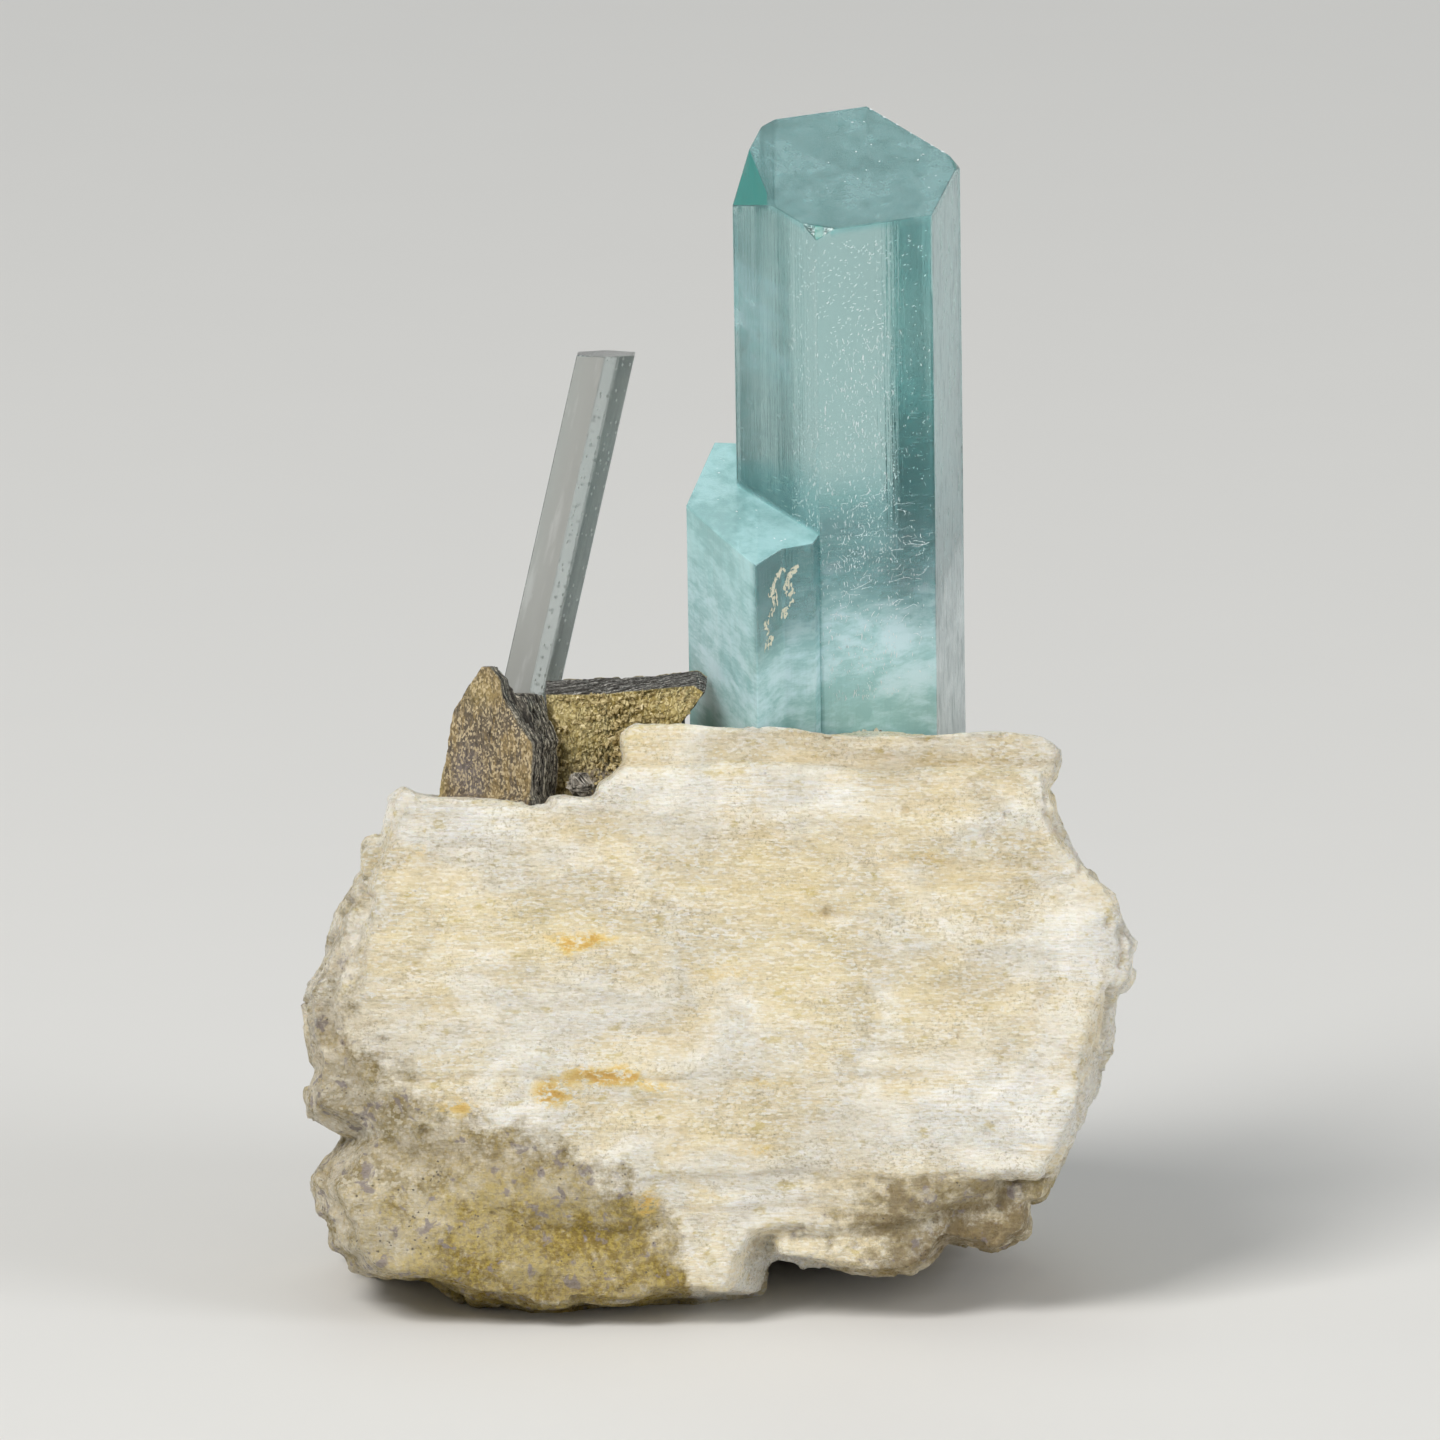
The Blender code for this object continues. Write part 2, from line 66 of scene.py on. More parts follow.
# The face frame: how far its front leans back, and where its origin lies in the world
FACE_LEAN = math.radians(12.0)
FACE_ORIGIN = Vector((0.0617, -22.6478, 1.6))
WORLD_FROM_FACE = (
    Matrix.Scale(MILLIMETRE, 4)
    @ Matrix.Translation(FACE_ORIGIN)
    @ Matrix.Rotation(-FACE_LEAN, 4, "X")
)


def leaning(top: tuple[float, float, float], sway: float, lean: float) -> Matrix:
    """A crystal's frame in the face frame.

    Args:
        top: The middle of its top.
        sway: Its turn from side to side, in degrees.
        lean: Its turn towards the front, in degrees.

    Returns:
        The face frame from the crystal's.
    """
    sideways = Matrix.Rotation(math.radians(sway), 4, "Y")
    return Matrix.Translation(top) @ sideways @ Matrix.Rotation(math.radians(lean), 4, "X")


WORLD_FROM_AXIS = WORLD_FROM_FACE @ leaning(top=(9.2, -14.0, 85.0), sway=-0.9, lean=35.5)
WORLD_FROM_SLENDER = WORLD_FROM_FACE @ leaning(top=(-8.7, 8.6, 71.8), sway=12.7, lean=7.0)


class Slot(Enum):
    """The record's material slots."""

    FELDSPAR = "feldspar"
    AQUAMARINE = "aquamarine"
    CLEAR_BERYL = "colourless_beryl"
    MICA_SHEETS = "mica_sheets"
    MICA_DRUSE = "mica_druse"
    DARK_MICA = "dark_mica"


# ---- numbers and noise


def scatter(cells: np.ndarray, seed: int) -> np.ndarray:
    """Three numbers between 0 and 1 for each whole-numbered cell.

    Args:
        cells: Whole numbers, one row of three for each cell.
        seed: Picks another set of numbers.

    Returns:
        One row of three for each cell.
    """
    x, y, z = cells.astype(np.int64).astype(np.uint64).T
    mixed = x * np.uint64(0x9E3779B97F4A7C15) ^ y * np.uint64(0xC2B2AE3D27D4EB4F)
    mixed = mixed ^ z * np.uint64(0x165667B19E3779F9) ^ np.uint64(seed * 0x27D4EB2F + 77)
    mixed ^= mixed >> np.uint64(29)
    mixed *= np.uint64(0xBF58476D1CE4E5B9)
    mixed ^= mixed >> np.uint64(32)
    parts = [(mixed >> np.uint64(shift)) & np.uint64(0xFFFF) for shift in (0, 16, 32)]
    return np.stack(parts, axis=1).astype(float) / 65535.0


def smooth_noise(points: Points, seed: int) -> np.ndarray:
    """Gradient noise of about -1 to 1, one hump to a unit.

    Args:
        points: One row of three for each point.
        seed: Picks another field.

    Returns:
        One value for each point.
    """
    cells = np.floor(points)
    local = points - cells
    fade = local**3 * (local * (local * 6.0 - 15.0) + 10.0)
    total = np.zeros(len(points))
    for corner in itertools.product((0.0, 1.0), repeat=3):
        step = np.array(corner)
        slope = scatter(cells + step, seed) * 2.0 - 1.0
        weight = np.prod(np.where(step > 0.5, fade, 1.0 - fade), axis=1)
        total += weight * ((local - step) * slope).sum(axis=1)
    return total * 1.5


def layered_noise(points: Points, seed: int, layers: int, keep: float = 0.5) -> np.ndarray:
    """Gradient noise with finer and weaker layers laid over it.

    Args:
        points: One row of three for each point.
        seed: Picks another field.
        layers: How many, each at twice the fineness of the one before.
        keep: How strong each is beside the one before.

    Returns:
        One value for each point.
    """
    total = np.zeros(len(points))
    for layer in range(layers):
        total += keep**layer * smooth_noise(points * 2.0**layer, seed + 31 * layer)
    return total


@dataclass
class Cells:
    """Broken cells round scattered seeds: how far each point is from its own, and which one."""

    nearest: np.ndarray
    offset: np.ndarray
    chance: np.ndarray

    @classmethod
    def around(cls, points: Points, seed: int, spread: float = 0.85) -> "Cells":
        """Finds the nearest seed for each point.

        Args:
            points: One row of three for each point.
            seed: Picks another set of seeds.
            spread: How far a seed strays from the middle of its unit.

        Returns:
            The cells.
        """
        home = np.floor(points)
        nearest = np.full(len(points), 9.0)
        offset = np.zeros_like(points)
        chance = np.zeros_like(points)
        for step in itertools.product((-1.0, 0.0, 1.0), repeat=3):
            cells = home + np.array(step)
            away = points - cells - 0.5 - (scatter(cells, seed) - 0.5) * spread
            distance = np.linalg.norm(away, axis=1)
            closer = distance < nearest
            nearest = np.where(closer, distance, nearest)
            offset[closer] = away[closer]
            chance[closer] = scatter(cells[closer], seed + 7)
        return cls(nearest, offset, chance)


def ease(value: np.ndarray, low: float, high: float) -> np.ndarray:
    """0 below low, 1 above high, with a soft ramp between; low may be the larger."""
    share = np.clip((value - low) / (high - low), 0.0, 1.0)
    return share * share * (3.0 - 2.0 * share)


def terraces(height: np.ndarray, sharpness: float = 5.0) -> np.ndarray:
    """Turns a smooth height into flat treads one unit apart with steep risers.

    Args:
        height: The values.
        sharpness: How steep the steps between the levels are.

    Returns:
        The stepped values.
    """
    tread = np.floor(height)
    rise = np.clip((height - tread - 0.5) * sharpness + 0.5, 0.0, 1.0)
    return tread + rise * rise * (3.0 - 2.0 * rise)


def level_axes(bearing: float) -> tuple[Points, Points]:
    """The level direction at a bearing in radians, and the one a quarter turn on from it."""
    ahead = np.array([math.cos(bearing), math.sin(bearing), 0.0])
    return ahead, np.array([-ahead[1], ahead[0], 0.0])


def moved(points: Points, matrix: Matrix) -> Points:
    """Points through a 4 by 4 matrix."""
    rows = np.array(matrix)
    return points @ rows[:3, :3].T + rows[:3, 3]


# ---- meshes


def linked(name: str, data: bpy.types.ID) -> Object:
    """An object made of a mesh, a lamp or a camera, linked to the scene.

    Args:
        name: The object's name.
        data: What it is made of.

    Returns:
        The object.
    """
    made = bpy.data.objects.new(name, data)
    bpy.context.scene.collection.objects.link(made)
    return made


def mesh_object(
    name: str, points: Points, faces: Sequence[Sequence[int]], material: Material
) -> Object:
    """A linked object made of points and faces.

    Args:
        name: The object's name.
        points: Corners in the world, in metres.
        faces: Corner numbers of each face.
        material: Its material.

    Returns:
        The object.
    """
    mesh = bpy.data.meshes.new(name)
    mesh.from_pydata(points.tolist(), [], faces)
    mesh.materials.append(material)
    return linked(name, mesh)


def solid_object(
    name: str, solid: BMesh, world: Matrix, material: Material
) -> Object:
    """A linked object made of a bmesh, which is freed.

    Args:
        name: The object's name.
        solid: The bmesh, in one of the millimetre frames.
        world: World from that frame.
        material: Its material.

    Returns:
        The object.
    """
    mesh = bpy.data.meshes.new(name)
    solid.transform(world)
    solid.to_mesh(mesh)
    solid.free()
    mesh.materials.append(material)
    return linked(name, mesh)


def rows_of(items: bpy.types.bpy_prop_collection, name: str) -> Points:
    """Three numbers kept for each item of a mesh.

    Args:
        items: The mesh's points or its normals.
        name: What Blender calls the numbers.

    Returns:
        One row of three for each item.
    """
    flat = np.empty(len(items) * 3)
    items.foreach_get(name, flat)
    return flat.reshape(-1, 3)


def put_points(mesh: Mesh, points: Points) -> None:
    """Gives a mesh's points new places."""
    mesh.vertices.foreach_set("co", points.astype(np.float32).ravel())
    mesh.update()


def mark_points(mesh: Mesh, name: str, values: np.ndarray) -> None:
    """Keeps one number for each point, which a material can read by name."""
    layer = mesh.attributes.new(name, "FLOAT", "POINT")
    layer.data.foreach_set("value", values.astype(np.float32))


def node_in_millimetres(node: str, frame_matrix: Matrix) -> BMesh:
    """A CAD node's mesh, welded, in one of the millimetre frames.

    Args:
        node: The CAD node's name.
        frame_matrix: World from that frame.

    Returns:
        A bmesh that the caller frees.
    """
    mesh = bmesh.new()
    mesh.from_mesh(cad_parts[node].data)
    mesh.transform(frame_matrix.inverted())
    bmesh.ops.remove_doubles(mesh, verts=mesh.verts, dist=0.002)
    return mesh


def score(mesh: BMesh, spot: Sequence[float], direction: Sequence[float]) -> None:
    """Cuts the faces along a plane, without moving them."""
    parts = mesh.verts[:] + mesh.edges[:] + mesh.faces[:]
    bmesh.ops.bisect_plane(mesh, geom=parts, dist=0.0005, plane_co=spot, plane_no=direction)


def evaluated_mesh(made: Object) -> Mesh:
    """An object's mesh with its modifiers applied."""
    graph = bpy.context.evaluated_depsgraph_get()
    return bpy.data.meshes.new_from_object(made.evaluated_get(graph))


def shade_smooth(made: Object, sharp_angle: float) -> None:
    """Shades a mesh smooth and keeps its edges over an angle in degrees sharp."""
    made.data.shade_smooth()
    made.data.set_sharp_from_angle(angle=math.radians(sharp_angle))


@dataclass
class Shards:
    """Many small closed solids gathered into one mesh."""

    points: list[Points] = field(default_factory=list)
    faces: list[tuple[int, ...]] = field(default_factory=list)
    count: int = 0

    def add(self, points: Points, faces: Iterable[Sequence[int]]) -> None:
        """Adds one solid, its faces numbered from its own first point.

        Args:
            points: Its corners.
            faces: Its faces, as places in points.
        """
        self.points.append(points)
        self.faces += [tuple(i + self.count for i in face) for face in faces]
        self.count += len(points)

    def plate(self, centre: Points, across: Points, along: Points, half: float, rim: np.ndarray) -> None:
        """Adds a thin lens with an uneven rim.

        Args:
            centre: Its middle.
            across: Half of its width, as a direction with length.
            along: Half of its length, as a direction with length.
            half: Half of its thickness.
            rim: How far the rim reaches at each of its points, about 1.
        """
        sides = len(rim)
        angles = np.arange(sides) * 2.0 * math.pi / sides
        ring = centre + np.outer(rim * np.cos(angles), across) + np.outer(rim * np.sin(angles), along)
        normal = np.cross(across, along)
        normal = normal / max(np.linalg.norm(normal), 1e-9) * half
        turned = [(i, (i + 1) % sides, sides) for i in range(sides)]
        under = [((i + 1) % sides, i, sides + 1) for i in range(sides)]
        self.add(np.vstack([ring, centre + normal, centre - normal]), turned + under)

    def grain(self, centre: Points, size: Points, rng: np.random.Generator) -> None:
        """Adds a rough grain: a twisted octahedron with cut corners.

        Args:
            centre: Its middle.
            size: Half of its size each way.
            rng: Where its unevenness comes from.
        """
        ends = np.vstack([np.eye(3), -np.eye(3)]) * rng.uniform(0.75, 1.25, (6, 1))
        turn = np.linalg.qr(rng.normal(size=(3, 3)))[0]
        corners = (ends + rng.normal(0.0, 0.12, (6, 3))) @ turn.T * size + centre
        sides = ((0, 1, 2), (1, 3, 2), (3, 4, 2), (4, 0, 2), (1, 0, 5), (3, 1, 5), (4, 3, 5), (0, 4, 5))
        if np.linalg.det(turn) < 0.0:
            sides = tuple(side[::-1] for side in sides)
        self.add(corners, sides)

    def build(self, name: str, world: Matrix, material: Material) -> Object:
        """All the solids as one object; world places the frame that they are in."""
        return mesh_object(name, moved(np.vstack(self.points), world), self.faces, material)


# ---- finishes


class Shader:
    """A material's nodes, with a short call for each kind that the finishes use."""

    def __init__(self, name: str) -> None:
        """Starts a material with one Principled surface.

        Args:
            name: The material's name.
        """
        self.material = bpy.data.materials.new(name)
        self.material.use_nodes = True
        self.tree = self.material.node_tree
        self.surface = self.tree.nodes["Principled BSDF"]
        self.output = self.tree.nodes["Material Output"]

    def feed(self, socket: Socket, value: Socket | float | Sequence[float]) -> None:
        """Links a socket, or sets it.

        Args:
            socket: The input.
            value: Another node's output, a number, or a colour.
        """
        if isinstance(value, Socket):
            self.tree.links.new(value, socket)
        elif socket.type == "RGBA":
            socket.default_value = (*value, 1.0)
        else:
            socket.default_value = value

    def add(self, kind: str, inputs: dict[str | int, object], **settings: object) -> Node:
        """Adds a node.

        Args:
            kind: Its type.
            inputs: What goes into its sockets, by name or number.
            settings: Its own settings.

        Returns:
            The node.
        """
        node = self.tree.nodes.new(kind)
        for name, value in settings.items():
            setattr(node, name, value)
        for socket, value in inputs.items():
            self.feed(node.inputs[socket], value)
        return node

    def set_surface(self, **inputs: object) -> None:
        """Sets or links the surface's sockets; an underscore stands for a space."""
        for name, value in inputs.items():
            self.feed(self.surface.inputs[name.replace("_", " ")], value)

    def placed(self, world_from_frame: Matrix) -> Socket:
        """The surface's place in one of the millimetre frames.

        Args:
            world_from_frame: The frame's place in the world.

        Returns:
            The place, in that frame.
        """
        place, turn, size = world_from_frame.inverted().decompose()
        spot = self.add("ShaderNodeTexCoord", {}).outputs["Object"]
        inputs = {"Vector": spot, "Location": place, "Rotation": turn.to_euler(), "Scale": size}
        return self.add("ShaderNodeMapping", inputs).outputs[0]

    def stretched(self, spot: Socket, factors: Sequence[float]) -> Socket:
        """A place with each direction drawn closer or further."""
        node = self.add("ShaderNodeVectorMath", {0: spot, 1: factors}, operation="MULTIPLY")
        return node.outputs[0]

    def shifted(self, spot: Socket, amount: Socket, reach: float) -> Socket:
        """A place pushed about by another field's colour.

        Args:
            spot: The place.
            amount: The field that pushes it.
            reach: How far it pushes.

        Returns:
            The moved place.
        """
        pushed = self.add("ShaderNodeVectorMath", {0: amount, 1: (0.5, 0.5, 0.5)}, operation="SUBTRACT")
        scaled = self.stretched(pushed.outputs[0], (reach,) * 3)
        return self.add("ShaderNodeVectorMath", {0: spot, 1: scaled}).outputs[0]

    def scaled(self, spot: Socket, scale: Scale) -> tuple[Socket, float]:
        """A place and the one scale that is left once a scale for each way has stretched it."""
        return (self.stretched(spot, scale), 1.0) if isinstance(scale, tuple) else (spot, scale)

    def noise(
        self, spot: Socket, scale: Scale, detail: float = 4.0, rough: float = 0.5, warp: float = 0.0
    ) -> Socket:
        """Cloudy noise from 0 to 1.

        Args:
            spot: Where.
            scale: Humps to a unit, as one number or one for each way.
            detail: How many finer layers.
            rough: How strong they are.
            warp: How far it is drawn out of shape.

        Returns:
            Its value.
        """
        spot, scale = self.scaled(spot, scale)
        inputs = {"Vector": spot, "Scale": scale, "Detail": detail, "Roughness": rough, "Distortion": warp}
        return self.add("ShaderNodeTexNoise", inputs).outputs[0]

    def cells(self, spot: Socket, scale: Scale) -> Node:
        """Cells round scattered seeds."""
        spot, scale = self.scaled(spot, scale)
        return self.add("ShaderNodeTexVoronoi", {"Vector": spot, "Scale": scale})

    def ramp(self, value: Socket, low: float, high: float, start: float = 0.0, end: float = 1.0) -> Socket:
        """A soft ramp.

        Args:
            value: What is read.
            low: Where the ramp starts; it may be above high.
            high: Where it ends.
            start: The result at low.
            end: The result at high.

        Returns:
            The result.
        """
        inputs = {0: value, 1: min(low, high), 2: max(low, high)}
        inputs |= {3: start, 4: end} if low < high else {3: end, 4: start}
        return self.add("ShaderNodeMapRange", inputs, interpolation_type="SMOOTHSTEP").outputs[0]

    def maths(self, operation: str, first: Socket | float, second: Socket | float = 0.0) -> Socket:
        """One step of arithmetic."""
        return self.add("ShaderNodeMath", {0: first, 1: second}, operation=operation).outputs[0]

    def times(self, first: Socket | float, second: Socket | float) -> Socket:
        """Two values multiplied."""
        return self.maths("MULTIPLY", first, second)

    def blend(
        self, share: Socket | float, first: Socket | Colour, second: Socket | Colour, how: str = "MIX"
    ) -> Socket:
        """One colour over another.

        Args:
            share: How much of the second shows.
            first: The colour below.
            second: The colour above.
            how: Blender's name for the way they mix.

        Returns:
            The colour.
        """
        node = self.add("ShaderNodeMix", {}, data_type="RGBA", blend_type=how)
        for number, value in ((0, share), (6, first), (7, second)):
            self.feed(node.inputs[number], value)
        return node.outputs[2]

    def mark(self, name: str) -> Socket:
        """A number kept on the mesh."""
        return self.add("ShaderNodeAttribute", {}, attribute_name=name).outputs["Fac"]

    def facing(self, direction: Vector) -> Socket:
        """How squarely the surface looks in a fixed direction of the world, from -1 to 1.

        Args:
            direction: A unit vector in the world.

        Returns:
            The share, from -1 to 1.
        """
        normal = self.add("ShaderNodeNewGeometry", {}).outputs["True Normal"]
        node = self.add("ShaderNodeVectorMath", {0: normal, 1: direction}, operation="DOT_PRODUCT")
        return node.outputs["Value"]

    def bump(
        self, height: Socket, depth: float, below: Socket | None = None, strength: Socket | float = 1.0
    ) -> Socket:
        """Relief that only the light sees.

        Args:
            height: From 0 to 1.
            depth: What 1 means, in millimetres.
            below: Coarser relief that this lies on.
            strength: How much of it shows.

        Returns:
            The normal.
        """
        inputs = {"Height": height, "Distance": depth * MILLIMETRE, "Strength": strength}
        if below is not None:
            inputs["Normal"] = below
        return self.add("ShaderNodeBump", inputs).outputs[0]

    def absorb(self, colour: Colour, density: float) -> None:
        """Lets clear material take colour from light on its way through."""
        node = self.add("ShaderNodeVolumeAbsorption", {"Color": colour, "Density": density})
        self.tree.links.new(node.outputs[0], self.output.inputs["Volume"])


@dataclass(frozen=True)
class FeldsparFinish:
    """Cream cleavage, white where it is fresh, with ochre stains, grey breaks, a dark yellow foot, painted
    glints and painted shade in hollows.
    """

    cream: Colour = (0.82, 0.715, 0.49)
    white: Colour = (0.90, 0.86, 0.75)
    silk: Colour = (0.98, 0.97, 0.94)
    warm: Colour = (0.78, 0.66, 0.37)
    tan: Colour = (0.50, 0.385, 0.18)
    sand: Colour = (0.36, 0.29, 0.13)
    olive: Colour = (0.62, 0.50, 0.17)
    grey: Colour = (0.29, 0.23, 0.105)
    glassy: Colour = (0.66, 0.60, 0.48)
    lavender: Colour = (0.27, 0.23, 0.23)
    ochre: Colour = (0.25, 0.17, 0.025)
    honey: Colour = (0.45, 0.335, 0.06)
    brown: Colour = (0.24, 0.175, 0.08)
    gold: Colour = (0.84, 0.62, 0.19)
    rust: Colour = (0.68, 0.37, 0.05)
    speck: Colour = (0.10, 0.08, 0.06)
    shaded: Colour = (0.70, 0.60, 0.42)

    def rough_zones(self, shader: Shader, spot: Socket) -> Socket:
        """Where the front is grainy (1) and where it is smooth (near 0)."""
        patches = shader.noise(spot, (0.13, 0.2, 0.2), 5.0, 0.62, 0.6)
        return shader.ramp(patches, 0.40, 0.60, 0.62, 1.0)

    def front(self, shader: Shader, spot: Socket) -> Socket:
        """The cleaved front's colour: soft clouds, thin level lines, sandy patches and painted glints.

        Args:
            shader: Where the nodes go.
            spot: The surface's place in the face frame.

        Returns:
            The colour.
        """
        fresh, zone = shader.mark("fresh"), self.rough_zones(shader, spot)
        cloud = shader.noise(spot, (0.11, 0.17, 0.19), 8.0, 0.62, 0.5)
        cloud = shader.maths("ADD", cloud, shader.times(fresh, 0.16))
        colour = shader.blend(shader.ramp(cloud, 0.42, 0.60), self.cream, self.white)
        colour = shader.blend(shader.ramp(cloud, 0.46, 0.28, 0.0, 0.62), colour, self.warm)
        lines = shader.noise(spot, (0.4, 2.2, 6.5), 6.0, 0.68, 0.2)
        lit = shader.times(shader.ramp(lines, 0.48, 0.64, 0.0, 0.75), zone)
        colour = shader.blend(lit, colour, self.white)
        colour = shader.blend(shader.ramp(lines, 0.46, 0.30, 0.0, 0.25), colour, self.warm)
        silk = shader.ramp(fresh, 0.1, 0.8, 0.0, 0.75)
        silk = shader.times(shader.ramp(lines, 0.47, 0.56), silk)
        colour = shader.blend(silk, colour, self.silk)
        patch = shader.noise(spot, (0.16, 0.24, 0.24), 4.0, 0.6, 0.8)
        patch = shader.ramp(patch, 0.47, 0.58)
        sand = shader.ramp(shader.noise(spot, 3.8, 3.0, 0.8), 0.54, 0.60)
        sandy = shader.times(shader.times(patch, sand), 0.5)
        colour = shader.blend(sandy, colour, self.sand)
        blots = shader.noise(spot, (0.55, 0.9, 0.9), 4.0, 0.6)
        blots = shader.times(shader.ramp(blots, 0.585, 0.69), 0.6)
        colour = shader.blend(blots, colour, self.olive)
        # Painted glints: the brightest cells in the grainy zones turn near white, and the darkest cells take
        # the sand colour
        glints = shader.cells(spot, (2.8, 7.0, 7.0)).outputs["Color"]
        bright = shader.times(shader.ramp(glints, 0.60, 0.78, 0.0, 0.6), zone)
        colour = shader.blend(bright, colour, self.silk)
        dim = shader.times(shader.ramp(glints, 0.36, 0.20, 0.0, 0.25), zone)
        return shader.blend(dim, colour, self.sand)

    def broken(self, shader: Shader, spot: Socket) -> Socket:
        """The broken faces' colour: grey and glassy, with lavender spots and a yellow foot.

        Args:
            shader: Where the nodes go.
            spot: The surface's place in the face frame.

        Returns:
            The colour.
        """
        mottled = shader.noise(spot, 0.32, 7.0, 0.68, 0.6)
        grains = shader.noise(spot, 2.6, 5.0, 0.7)
        colour = shader.blend(shader.ramp(mottled, 0.36, 0.58), self.grey, self.glassy)
        colour = shader.blend(shader.ramp(grains, 0.46, 0.66, 0.0, 0.6), colour, self.tan)
        flakes = shader.cells(spot, (4.0, 5.0, 5.0)).outputs["Color"]
        colour = shader.blend(shader.ramp(flakes, 0.60, 0.78, 0.0, 0.4), colour, self.white)
        drifting = shader.maths("ADD", grains, shader.ramp(mottled, 0.3, 0.7, -0.06, 0.06))
        yellow = shader.blend(shader.ramp(drifting, 0.42, 0.58), self.ochre, self.honey)
        veined = shader.ramp(mottled, 0.36, 0.60, 1.0, 0.72)
        colour = shader.blend(shader.times(shader.mark("foot"), veined), colour, yellow)
        smoky = shader.ramp(grains, 0.38, 0.62, 1.0, 0.72)
        colour = shader.blend(shader.times(shader.mark("smoke"), smoky), colour, self.brown)
        spots = shader.ramp(shader.noise(spot, 0.85, 3.0, 0.55, 0.4), 0.585, 0.65)
        return shader.blend(shader.times(spots, 0.8), colour, self.lavender)

    def colour(self, shader: Shader, spot: Socket) -> Socket:
        """The whole rock's colour.

        Args:
            shader: Where the nodes go.
            spot: The surface's place in the face frame.

        Returns:
            The colour.
        """
        breaks = shader.mark("breaks")
        edge = shader.ramp(shader.noise(spot, 0.7, 7.0, 0.75), 0.3, 0.7, -0.42, 0.42)
        edge = shader.maths("ADD", breaks, edge)
        share = shader.times(shader.ramp(edge, 0.1, 0.95), shader.ramp(breaks, 0.0, 0.25))
        colour = shader.blend(share, self.front(shader, spot), self.broken(shader, spot))
        ragged = shader.noise(spot, (1.2, 1.6, 2.0), 7.0, 0.75, 0.4)
        stain = shader.times(shader.mark("stain"), shader.ramp(ragged, 0.38, 0.56))
        colour = shader.blend(shader.ramp(stain, 0.04, 0.6, 0.0, 0.8), colour, self.gold)
        colour = shader.blend(shader.ramp(stain, 0.45, 1.0, 0.0, 0.75), colour, self.rust)
        dots = shader.cells(shader.shifted(spot, shader.cells(spot, 3.0).outputs["Color"], 0.3), 1.5)
        dot = shader.ramp(dots.outputs["Distance"], 0.20, 0.08)
        rare = shader.ramp(dots.outputs["Color"], 0.62, 0.66)
        dark = shader.times(dot, rare)
        dark = shader.times(dark, shader.ramp(share, 0.0, 1.0, 0.3, 0.9))
        colour = shader.blend(dark, colour, self.speck)
        # Painted shade in the rock's hollows and along the ledge's seam, with the ledge's beige tone,
        # multiplied in
        hollow_shade_and_ledge_tone = shader.times(shader.mark("hollow_shade_and_ledge_tone"), 0.5)
        return shader.blend(hollow_shade_and_ledge_tone, colour, self.shaded, "MULTIPLY")

    def material(self) -> Material:
        """The finished material.

        Returns:
            The material.
        """
        shader = Shader("feldspar")
        spot = shader.placed(WORLD_FROM_FACE)
        fine = shader.noise(spot, (0.6, 1.8, 4.0), 6.0, 0.65)
        grit = shader.noise(spot, 3.6, 5.0, 0.7)
        glitter = shader.cells(spot, 4.5)
        zone = self.rough_zones(shader, spot)
        strength = shader.ramp(zone, 0.6, 1.0, 0.72, 1.0)
        relief = shader.bump(fine, 0.34, None, strength)
        relief = shader.bump(grit, 0.26, relief, strength)
        relief = shader.bump(glitter.outputs["Color"], 0.12, relief, strength)
        gloss = shader.ramp(glitter.outputs["Color"], 0.55, 0.75, 0.58, 0.26)
        shader.set_surface(
            Base_Color=self.colour(shader, spot), Roughness=gloss, Normal=relief, IOR=1.53,
            Subsurface_Weight=0.25, Subsurface_Radius=(1.0, 0.8, 0.55), Subsurface_Scale=0.0012,
        )  # fmt: skip
        return shader.material


